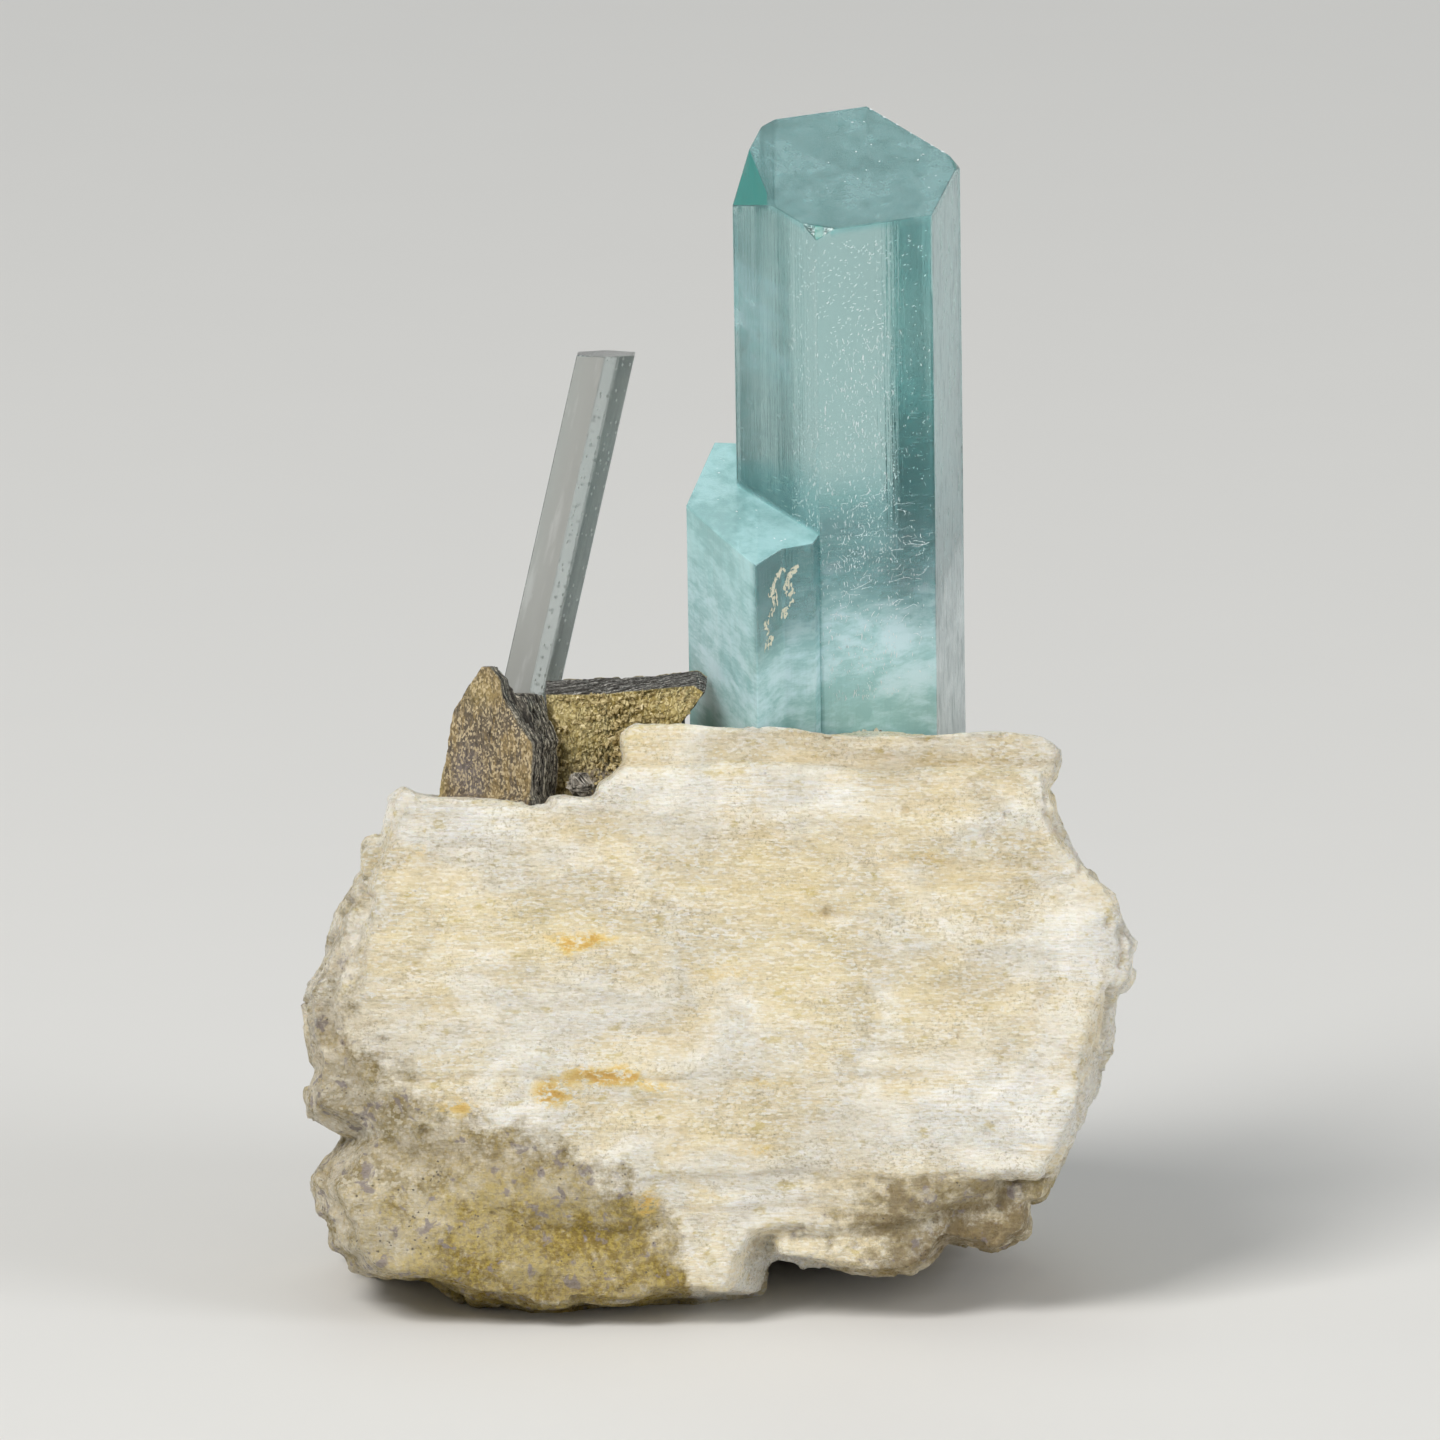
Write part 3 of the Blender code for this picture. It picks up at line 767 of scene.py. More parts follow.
@dataclass(frozen=True)
class AquamarineFinish:
    """Clear blue-green beryl with upright striations and frosted sides, and a painted deeper teal shade on
    small tilted faces.
    """

    body: Colour = (0.325, 0.755, 0.75)
    frost: Colour = (0.56, 0.63, 0.635)
    pit: Colour = (0.27, 0.335, 0.345)
    # The painted shade: a deeper teal for the small tilted faces and, a little, for the tops
    deep: Colour = (0.07, 0.37, 0.33)
    milk: Colour = (0.40, 0.735, 0.735)
    wisp: Colour = (0.68, 0.87, 0.94)
    density: float = 60.0

    def material(self) -> Material:
        """The finished material.

        Returns:
            The material.
        """
        shader = Shader("aquamarine")
        spot = shader.placed(WORLD_FROM_AXIS)
        etched = shader.noise(spot, (3.0, 3.0, 0.32), 5.0, 0.7)
        frost = shader.times(shader.mark("frost"), shader.ramp(etched, 0.30, 0.66, 0.5, 1.0))
        lines = shader.noise(spot, (5.0, 5.0, 0.06), 4.0, 0.6)
        marks = shader.noise(spot, (3.0, 3.0, 1.2), 3.0, 0.5)
        relief = shader.bump(lines, 0.03)
        relief = shader.bump(marks, 0.02, relief, 0.5)
        relief = shader.bump(etched, 0.08, relief, frost)
        clouds = shader.noise(spot, (0.22, 0.22, 0.42), 6.0, 0.6, 0.25)
        threads = shader.noise(spot, (0.9, 0.9, 1.7), 7.0, 0.66, 0.3)
        wisps = shader.times(clouds, 0.62)
        wisps = shader.maths("ADD", wisps, shader.times(threads, 0.38))
        patchy = shader.ramp(wisps, 0.38, 0.60, 0.76, 1.0)
        even = shader.maths("SUBTRACT", 1.0, shader.mark("wispy"))
        milk = shader.times(shader.mark("milk"), shader.maths("MAXIMUM", patchy, even))
        cloudy = shader.maths("MAXIMUM", shader.ramp(frost, 0.0, 1.0, 0.0, 0.55), milk)
        bright = shader.times(shader.ramp(wisps, 0.40, 0.62, 0.2, 0.95), shader.mark("wispy"))
        # Painted shade: the deep mark turns the small tilted faces, and the tops a little, a deeper teal
        tint = shader.blend(shader.mark("deep"), shader.blend(bright, self.milk, self.wisp), self.deep)
        pale = shader.blend(shader.ramp(etched, 0.50, 0.66, 0.0, 0.75), self.frost, self.pit)
        skin = shader.blend(shader.ramp(frost, 0.0, 0.5), tint, pale)
        shader.set_surface(
            Base_Color=shader.blend(shader.ramp(cloudy, 0.0, 0.3), (1.0, 1.0, 1.0), skin),
            Roughness=shader.ramp(frost, 0.0, 1.0, 0.02, 0.42), Normal=relief, IOR=1.577,
            Transmission_Weight=shader.ramp(cloudy, 0.0, 1.0, 1.0, 0.0),
        )  # fmt: skip
        shader.absorb(self.body, self.density)
        return shader.material


@dataclass(frozen=True)
class ClearBerylFinish:
    """Nearly colourless beryl with one milky face."""

    body: Colour = (0.60, 0.67, 0.655)
    density: float = 230.0
    milk: Colour = (0.40, 0.405, 0.385)

    def material(self) -> Material:
        """The finished material.

        Returns:
            The material.
        """
        shader = Shader("colourless_beryl")
        spot = shader.placed(WORLD_FROM_SLENDER)
        left = WORLD_FROM_SLENDER.to_3x3().normalized() @ Vector((-0.5, -math.sin(math.radians(60.0)), 0.0))
        lines = shader.noise(spot, (6.0, 6.0, 0.08), 4.0, 0.6)
        clouds = shader.noise(spot, (1.2, 1.2, 0.2), 4.0, 0.6)
        milky = shader.ramp(shader.facing(left), 0.9, 0.97)
        milky = shader.times(milky, shader.ramp(clouds, 0.25, 0.5, 0.8, 1.0))
        dots = shader.cells(spot, (3.2, 3.2, 1.8))
        speck = shader.ramp(dots.outputs["Distance"], 0.32, 0.18)
        speck = shader.times(speck, shader.ramp(dots.outputs["Color"], 0.5, 0.55))
        milky = shader.maths("MAXIMUM", milky, speck)
        shader.set_surface(
            Base_Color=shader.blend(milky, (1.0, 1.0, 1.0), self.milk),
            Roughness=shader.ramp(milky, 0.0, 1.0, 0.03, 0.35), IOR=1.57,
            Transmission_Weight=shader.ramp(milky, 0.0, 1.0, 1.0, 0.35),
            Normal=shader.bump(lines, 0.02),
        )  # fmt: skip
        shader.absorb(self.body, self.density)
        return shader.material


@dataclass(frozen=True)
class VeilFinish:
    """White wisps of trapped fluid, thin enough to see through."""

    colour: Colour = (0.86, 0.95, 0.97)
    cover: float = 0.5

    def material(self) -> Material:
        """The finished material.

        Returns:
            The material.
        """
        shader = Shader("veil")
        spot = shader.placed(WORLD_FROM_AXIS)
        wisps = shader.noise(spot, (1.1, 1.1, 2.2), 6.0, 0.68, 0.8)
        shader.set_surface(
            Base_Color=self.colour, Roughness=0.7, IOR=1.15, Transmission_Weight=0.5,
            Alpha=shader.ramp(wisps, 0.42, 0.70, 0.0, self.cover),
        )  # fmt: skip
        return shader.material


@dataclass(frozen=True)
class FleckFinish:
    """Small bright flecks inside a crystal."""

    name: str
    colour: Colour

    def material(self) -> Material:
        """The finished material.

        Returns:
            The material.
        """
        shader = Shader(self.name)
        spot = shader.placed(WORLD_FROM_AXIS)
        cloud = shader.noise(spot, 2.5, 3.0, 0.6)
        shade = tuple(channel * 0.72 for channel in self.colour)
        shader.set_surface(
            Base_Color=shader.blend(cloud, shade, self.colour), Roughness=0.35,
            Normal=shader.bump(cloud, 0.03),
        )  # fmt: skip
        return shader.material


@dataclass(frozen=True)
class MicaFinish:
    """Brown-gold mica: glittering scales on the face, dark and silvery lines on the sheets' edges, and
    painted light and shade on the face.
    """

    name: str
    face: Colour
    glint: Colour
    patch: Colour
    edge_light: Colour
    stack: Vector
    edge_dark: Colour = (0.022, 0.018, 0.013)
    # Painted shade and painted light that the face takes where its tone mark says
    painted_shade_colour: Colour = (0.19, 0.16, 0.15)
    painted_light_colour: Colour = (0.46, 0.36, 0.13)

    def face_colour(self, shader: Shader, spot: Socket) -> Socket:
        """The broad face's colour.

        Args:
            shader: Where the nodes go.
            spot: The surface's place in the face frame.

        Returns:
            The colour.
        """
        streaks = shader.noise(spot, (2.2, 2.2, 0.4), 6.0, 0.66, 0.5)
        drift = shader.ramp(shader.noise(spot, 0.4, 3.0), 0.35, 0.65, -0.08, 0.08)
        patches = shader.maths("ADD", streaks, drift)
        colour = shader.blend(shader.ramp(patches, 0.42, 0.58), self.patch, self.face)
        # Painted shade where the tone mark is above 0, painted light where it is below 0
        colour = shader.blend(shader.ramp(shader.mark("tone"), 0.0, 1.0, 0.0, 0.75), colour, self.painted_shade_colour)
        colour = shader.blend(shader.ramp(shader.mark("tone"), 0.0, -1.0, 0.0, 0.75), colour, self.painted_light_colour)
        scales = shader.cells(spot, (8.0, 8.0, 5.0)).outputs["Color"]
        colour = shader.blend(shader.ramp(scales, 0.52, 0.80, 0.0, 0.7), colour, self.glint)
        return shader.blend(shader.ramp(scales, 0.40, 0.22, 0.0, 0.4), colour, self.edge_dark)

    def edge_colour(self, shader: Shader, spot: Socket, sheets: Socket) -> Socket:
        """The sheets' edges: thin silvery lines and flecks on near black.

        Args:
            shader: Where the nodes go.
            spot: The surface's place in the face frame.
            sheets: The pattern of the sheets, from 0 to 1.

        Returns:
            The colour.
        """
        lines = shader.ramp(sheets, 0.47, 0.56)
        flecks = shader.ramp(shader.noise(spot, 4.0, 4.0, 0.75), 0.42, 0.58, 0.15, 1.0)
        return shader.blend(shader.times(lines, flecks), self.edge_dark, self.edge_light)

    def material(self) -> Material:
        """The finished material.

        Returns:
            The material.
        """
        shader = Shader(self.name)
        spot = shader.placed(WORLD_FROM_FACE)
        depth = shader.add("ShaderNodeVectorMath", {0: spot, 1: self.stack}, operation="DOT_PRODUCT")
        layer = shader.add("ShaderNodeCombineXYZ", {0: depth.outputs["Value"]}).outputs[0]
        waves = shader.add("ShaderNodeTexNoise", {"Vector": spot, "Scale": 0.5}).outputs[1]
        wavy = shader.shifted(layer, waves, 0.10)
        sheets = shader.noise(wavy, (6.0, 1.0, 1.0), 3.0, 0.7)
        on_face = shader.mark("face")
        grains = shader.noise(spot, 3.4, 5.0, 0.7)
        scales = shader.cells(spot, (5.0, 5.0, 4.0)).outputs["Color"]
        relief = shader.bump(shader.times(sheets, shader.ramp(on_face, 1.0, 0.0)), 0.2)
        relief = shader.bump(grains, 0.14, relief)
        relief = shader.bump(shader.times(scales, on_face), 0.09, relief)
        edge, face = self.edge_colour(shader, spot, sheets), self.face_colour(shader, spot)
        shader.set_surface(
            Base_Color=shader.blend(on_face, edge, face),
            Normal=relief, IOR=1.6, Roughness=shader.ramp(grains, 0.35, 0.7, 0.5, 0.26),
            Metallic=0.2,
        )  # fmt: skip
        return shader.material


@dataclass(frozen=True)
class GrainFinish:
    """Loose-looking crumbs and druse, with its colour changing from grain to grain."""

    name: str
    light: Colour
    dark: Colour

    def material(self) -> Material:
        """The finished material.

        Returns:
            The material.
        """
        shader = Shader(self.name)
        spot = shader.placed(WORLD_FROM_FACE)
        tone = shader.noise(spot, 2.2, 5.0, 0.7)
        shader.set_surface(
            Base_Color=shader.blend(shader.ramp(tone, 0.38, 0.62), self.dark, self.light), IOR=1.55,
            Roughness=shader.ramp(tone, 0.4, 0.6, 0.55, 0.3),
            Normal=shader.bump(shader.noise(spot, 7.0, 3.0), 0.05),
        )  # fmt: skip
        return shader.material


# ---- the rock


@dataclass
class Patch:
    """A soft-edged patch of a face: its middle, its reach each way and its strength."""

    x: float
    z: float
    reach_x: float
    reach_z: float
    strength: float = 1.0

    def at(self, spot: Points) -> np.ndarray:
        """How strong it is at each point."""
        far = ((spot[:, 0] - self.x) / self.reach_x) ** 2 + ((spot[:, 2] - self.z) / self.reach_z) ** 2
        return self.strength * np.exp(-far)


@dataclass
class Slope:
    """Rock that fills the corner behind an edge of the front face, sloping back from it.

    At each ring's depth the edge reaches out further, as its bearings and shares say.
    """

    edge: tuple[tuple[float, float], ...]
    bearings: tuple[float, ...]
    shares: tuple[float, ...]
    back: tuple[tuple[float, float], ...]
    rings: tuple[tuple[float, float], ...]

    def solid(self) -> BMesh:
        """The filling rock.

        Returns:
            A closed bmesh in the face frame, which the caller frees.
        """
        made = bmesh.new()
        rows = []
        for depth, reach in self.rings:
            outer = []
            for (x, z), bearing, share in zip(self.edge, self.bearings, self.shares):
                angle = math.radians(bearing)
                far_x, far_z = x + reach * share * math.cos(angle), z + reach * share * math.sin(angle)
                outer.append((far_x, depth, far_z))
            inner = [(x, depth, z) for x, z in self.back]
            rows.append([made.verts.new(corner) for corner in outer + inner])
        made.faces.new(rows[0])
        made.faces.new(rows[-1][::-1])
        for near, far in zip(rows, rows[1:]):
            for i in range(len(near)):
                j = (i + 1) % len(near)
                made.faces.new((near[i], near[j], far[j], far[i]))
        bmesh.ops.recalc_face_normals(made, faces=made.faces)
        return made


SLOPES = (
    Slope(
        edge=(
            (-24.6, 33.0), (-25.3, 28.0), (-25.7, 24.2), (-24.9, 21.4), (-22.3, 19.6), (-20.4, 17.9),
            (-16.0, 15.0), (-11.4, 12.3), (-6.0, 11.4),
        ),
        bearings=(175.0, 180.0, 182.0, 205.0, 225.0, 233.0, 238.0, 246.0, 262.0),
        shares=(0.12, 0.26, 0.45, 0.6, 0.85, 1.0, 1.0, 1.0, 0.8),
        back=((-6.0, 17.0), (-17.0, 25.0), (-19.0, 33.0)),
        rings=((0.06, 0.0), (0.35, 3.0), (1.0, 6.0), (2.5, 8.0), (7.0, 8.6)),
    ),
    Slope(
        edge=(
            (23.4, 38.0), (24.2, 36.2), (25.6, 33.4), (26.7, 30.8), (27.2, 27.2), (27.0, 23.8),
            (26.2, 19.5), (25.7, 16.8), (24.6, 13.6),
        ),
        bearings=(10.0, 5.0, 8.0, 10.0, 0.0, 350.0, 350.0, 345.0, 330.0),
        shares=(0.15, 0.18, 0.32, 0.66, 0.8, 0.5, 0.42, 0.34, 0.2),
        back=((20.0, 14.0), (20.0, 26.0), (20.0, 37.0)),
        rings=((0.06, 0.0), (0.35, 1.8), (1.1, 3.4), (3.0, 4.2), (7.0, 4.4)),
    ),
    Slope(
        edge=(
            (-10.0, 11.0), (-6.0, 10.6), (-1.0, 10.4), (3.0, 10.4), (9.0, 10.4), (15.0, 10.4),
            (20.0, 10.8),
        ),
        bearings=(262.0, 266.0, 270.0, 270.0, 270.0, 270.0, 274.0),
        shares=(1.0, 1.0, 1.0, 0.84, 0.82, 0.6, 0.3),
        back=((20.0, 13.0), (-8.0, 13.0)),
        rings=((0.3, 0.0), (0.8, 2.0), (1.5, 4.4), (3.0, 5.7), (8.0, 6.1)),
    ),
)  # fmt: skip

BREAK_LINE = (
    (-27.0, 20.0), (-21.8, 16.8), (-14.2, 13.8), (-8.1, 10.8), (-3.5, 8.0), (-2.4, 2.0), (-1.0, -6.0),
)  # fmt: skip

FRESH_ZONES = (
    Patch(20.5, 15.0, 7.0, 4.0), Patch(3.6, 8.6, 4.2, 2.2), Patch(27.0, 27.0, 4.0, 3.5),
    Patch(-19.5, 36.5, 5.5, 2.4), Patch(4.0, 39.0, 12.0, 1.8, 0.8), Patch(-16.0, 14.2, 5.0, 2.0, 0.8),
    Patch(-9.0, 22.0, 9.0, 2.4, 0.6), Patch(3.0, 30.5, 13.0, 4.0, -0.8), Patch(4.0, 14.6, 5.0, 2.6, -0.7),
    Patch(-15.0, 29.0, 7.0, 4.0, -0.5), Patch(15.0, 36.5, 6.0, 1.6, -0.6), Patch(14.0, 24.0, 7.0, 3.0, -0.4),
)  # fmt: skip


@dataclass
class FeldsparMatrix:
    """The rock, in the face frame: cleavage treads on its front, broken facets elsewhere."""

    finish: FeldsparFinish = field(default_factory=FeldsparFinish)
    voxel: float = 0.29
    quick_voxel: float = 0.45
    most_triangles: int = 190_000
    plug_growth: float = 0.6
    ledge_level: float = 42.9
    slender_level: float = 37.2
    top_slope: float = 0.07
    tread_height: float = 0.42
    facet_height: float = 0.5
    small_facet_height: float = 0.2
    crack_level: float = 17.7
    flat_foot: float = 0.12
    stains: tuple[Patch, ...] = (
        Patch(-10.0, 27.9, 2.4, 0.4), Patch(-11.5, 27.3, 0.6, 0.9, 0.8), Patch(-14.0, 28.2, 5.0, 0.5, 0.25),
        Patch(0.2, 25.6, 3.0, 0.6, 0.4), Patch(-12.8, 16.6, 1.5, 0.9, 1.1), Patch(-9.4, 18.0, 2.4, 0.7, 1.1),
        Patch(-7.4, 17.4, 1.6, 0.5), Patch(-4.6, 16.9, 1.8, 0.5, 0.6), Patch(-10.6, 15.7, 2.0, 1.2, 0.3),
        Patch(-22.6, 34.7, 1.0, 0.6, 0.5), Patch(-5.6, 8.4, 0.9, 0.8),
        Patch(-19.6, 15.4, 1.6, 0.6, 0.8), Patch(6.0, 30.0, 5.0, 0.8, 0.3), Patch(14.5, 34.0, 3.6, 0.7, 0.4),
        Patch(3.0, 17.2, 3.0, 0.5, 0.4), Patch(2.6, 12.2, 1.6, 0.5, 0.5), Patch(21.5, 28.5, 1.2, 0.5, 0.4),
    )  # fmt: skip

    def plug(self, node: str, level: float) -> BMesh:
        """Rock that fills a crystal's socket up to just below the rock's top.

        Args:
            node: The CAD node whose root is filled.
            level: The height of the plug's top at the rock's front.

        Returns:
            A closed bmesh in the face frame.
        """
        root = node_in_millimetres(node, WORLD_FROM_FACE)
        parts = root.verts[:] + root.edges[:] + root.faces[:]
        up = Vector((0.0, self.top_slope, 1.0)).normalized()
        cut = bmesh.ops.bisect_plane(
            root, geom=parts, plane_co=(0.0, 0.0, level), plane_no=up, clear_outer=True
        )
        rim = [part for part in cut["geom_cut"] if isinstance(part, BMEdge)]
        bmesh.ops.holes_fill(root, edges=rim, sides=0)
        bmesh.ops.recalc_face_normals(root, faces=root.faces)
        root.normal_update()
        away = {vertex: vertex.normal.copy() for vertex in root.verts}
        for vertex, direction in away.items():
            direction.z = min(direction.z, 0.0)
            vertex.co += direction * self.plug_growth
        return root

    def blank(self) -> Mesh:
        """The CAD rock with its sockets filled, as an even fine mesh in the face frame.

        Returns:
            The mesh, in the face frame.
        """
        joined = node_in_millimetres("feldspar_matrix", WORLD_FROM_FACE)
        fillers = [
            self.plug("aquamarine_crystals", self.ledge_level),
            self.plug("slender_beryl", self.slender_level),
            *(slope.solid() for slope in SLOPES),
        ]
        for filler in fillers:
            piece = bpy.data.meshes.new("filler")
            filler.to_mesh(piece)
            filler.free()
            joined.from_mesh(piece)
        rough = bpy.data.meshes.new("rock")
        joined.to_mesh(rough)
        joined.free()
        blank = linked("rock", rough)
        remesh = blank.modifiers.new("even", "REMESH")
        remesh.mode = "VOXEL"
        remesh.voxel_size = self.voxel
        even = evaluated_mesh(blank)
        bpy.data.objects.remove(blank)
        return even

    def front_relief(self, spot: Points) -> np.ndarray:
        """Height of the front face's cleavage treads and striations.

        Args:
            spot: Points in the face frame.

        Returns:
            Millimetres out of the face, for each point.
        """
        x, z = spot[:, 0], spot[:, 2]
        slow = layered_noise(spot * (0.035, 0.1, 0.2), 5, 4, 0.62)
        height = terraces(slow * 5.0, 3.0) / 5.0 * self.tread_height
        height += 0.06 * smooth_noise(spot * (0.12, 1.0, 1.5), 21)
        height += 0.035 * smooth_noise(spot * (0.4, 1.0, 3.2), 22)
        rough = ease(layered_noise(spot * (0.09, 0.2, 0.16), 23, 3), 0.0, 0.5)
        height += rough * 0.10 * layered_noise(spot * 1.5, 24, 3, 0.6)
        level = self.crack_level + 0.6 * smooth_noise(spot * (0.14, 0.0, 0.0), 25)
        along = ease(x, -25.0, -22.0) * ease(x, 7.0, 1.0)
        along *= 0.45 + 0.55 * ease(smooth_noise(spot * (0.3, 0.0, 0.0), 26), -0.4, 0.3)
        height -= along * 0.34 * np.exp(-(((z - level) / 0.2) ** 2))
        height -= along * 0.16 * ease(z, level + 0.1, level - 0.1) * ease(z, level - 7.0, level - 1.0)
        return height

    def broken_relief(self, spot: Points, normal: Points) -> np.ndarray:
        """Height of the broken faces: facets, with cleavage lines parallel to the front.

        Args:
            spot: Points in the face frame.
            normal: The surface's direction at each.

        Returns:
            Millimetres out of the surface, for each point.
        """
        coarse = Cells.around(spot * (0.16, 0.22, 0.2), 41)
        tilt = (coarse.offset * (coarse.chance * 2.0 - 1.0)).sum(axis=1)
        height = self.facet_height * (tilt + 0.35 * (coarse.chance[:, 0] - 0.5))
        small = Cells.around(spot * (0.5, 0.75, 0.6) + 3.0, 43)
        height += self.small_facet_height * (small.offset * (small.chance * 2.0 - 1.0)).sum(axis=1)
        across = layered_noise(spot * (0.05, 0.35, 0.06), 44, 3, 0.6)
        sides = 1.0 - np.abs(normal[:, 1])
        height += sides * 0.22 * terraces(across * 4.0, 3.0) / 4.0
        return height + 0.06 * layered_noise(spot * 1.1, 45, 3, 0.6)

    def pits(self, spot: Points) -> np.ndarray:
        """Depth of scattered small pits.

        Args:
            spot: Points in the face frame.

        Returns:
            Millimetres of depth, for each point.
        """
        cells = Cells.around(spot * 0.42, 51)
        size = 0.12 + 0.16 * cells.chance[:, 1]
        return (cells.chance[:, 0] > 0.72) * 0.34 * ease(cells.nearest, size, size * 0.4)

    def shape(self, mesh: Mesh) -> None:
        """Moves the blank's points to the finished surface, and marks them.

        Args:
            mesh: The blank, in the face frame.
        """
        spot, normal = rows_of(mesh.vertices, "co"), rows_of(mesh.vertex_normals, "vector")
        y, z = spot[:, 1], spot[:, 2]
        front = ease(-normal[:, 1], 0.6, 0.9) * ease(y, 3.4, 1.8)
        top = ease(normal[:, 2], 0.6, 0.9) * ease(z, 36.0, 39.0)
        height = 0.45 * (1.0 - 0.5 * front) * layered_noise(spot * 0.1, 11, 3)
        broken = self.broken_relief(spot, normal)
        height += (1.0 - front) * (1.0 - 0.65 * top) * broken + front * self.front_relief(spot)
        height -= self.pits(spot)
        finished = spot + normal * height[:, None]
        world = moved(finished, WORLD_FROM_FACE)
        low = moved(spot, WORLD_FROM_FACE)[:, 2]
        world[:, 2] = np.where(low < self.flat_foot * MILLIMETRE, 0.0, np.maximum(world[:, 2], 0.0))
        put_points(mesh, world)
        self.mark(mesh, spot, height)

    def mark(self, mesh: Mesh, spot: Points, height: np.ndarray) -> None:
        """Marks where the rock is broken, yellow, smoky, stained and fresh; also painted shade in its
        hollows, and the ledge's beige tone.

        Args:
            mesh: The finished surface.
            spot: The blank's points, in the face frame.
            height: How far each was moved outwards.
        """
        x, y, z = spot.T
        smooth = layered_noise(spot * 0.5, 61, 3)
        across, level = np.array(BREAK_LINE).T
        below = ease(np.interp(x, across, level) - z + 2.2 * smooth, -3.0, 3.4)
        under = ease(z, 10.8, 9.9) * (1.0 - below) * ease(x + 2.5 * smooth, 4.0, 13.0)
        left = ease(x, -25.0, -28.5) * ease(z, 11.0, 14.0)
        breaks = np.clip(0.95 * below + (0.85 + 0.4 * smooth) * under + 0.6 * left, 0.0, 1.0)
        back = ease(y, 6.0, 16.0) * (0.45 + 0.6 * layered_noise(spot * 0.12, 62, 3))
        mark_points(mesh, "breaks", np.clip(np.maximum(breaks, back), 0.0, 1.0))
        yellow = below * np.exp(-(((x + 13.0) / 12.0) ** 2) - ((z - 2.0) / 7.5) ** 2)
        mark_points(mesh, "foot", np.clip(yellow * 1.9 + 0.5 * below * smooth + 0.5 * under, 0.0, 1.0))
        smoke = under * (0.55 + 0.5 * layered_noise(spot * 0.22, 63, 3))
        smoke = smoke + 0.9 * ease(x, 14.0, 18.0) * ease(z, 9.0, 7.5)
        mark_points(mesh, "smoke", np.clip(smoke, 0.0, 1.0) * ease(y, 14.0, 8.0))
        stain = sum(patch.at(spot + 0.5 * smooth[:, None]) for patch in self.stains)
        mark_points(mesh, "stain", np.clip(stain * ease(y, 9.0, 4.0), 0.0, 1.0))
        fresh = sum(zone.at(spot + 0.8 * smooth[:, None]) for zone in FRESH_ZONES)
        mark_points(mesh, "fresh", np.clip(fresh, -1.0, 1.0))
        # Painted shade: darker where the surface was moved inwards and along the seam at the ledge's foot;
        # the ledge itself gets a little beige tone
        ledge = ease(z, 40.9, 41.5) * ease(y, 0.6, 1.0)
        seam = np.exp(-(((z - 41.2) / 0.35) ** 2)) * ease(y, 4.0, 2.5)
        mark_points(mesh, "hollow_shade_and_ledge_tone", np.clip(0.12 - height * 1.2 + 0.2 * ledge + 0.5 * seam, 0.0, 1.0))

    def build(self) -> Object:
        """The finished rock, thinned to its most triangles.

        Returns:
            The rock.
        """
        mesh = self.blank()
        self.shape(mesh)
        mesh.materials.clear()
        mesh.materials.append(self.finish.material())
        rock = linked("feldspar_rock", mesh)
        mesh.calc_loop_triangles()
        count = len(mesh.loop_triangles)
        if count > self.most_triangles:
            thin = rock.modifiers.new("thin", "DECIMATE")
            thin.ratio = self.most_triangles / count
            rock.data = evaluated_mesh(rock)
            rock.modifiers.clear()
        rock.data.shade_smooth()
        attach(rock, "root")
        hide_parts("feldspar_matrix")
        return rock


# ---- the aquamarines


# The numbers of the main crystal's two side faces that look forwards
FRONT_FACE, LEFT_FACE = 4, 3


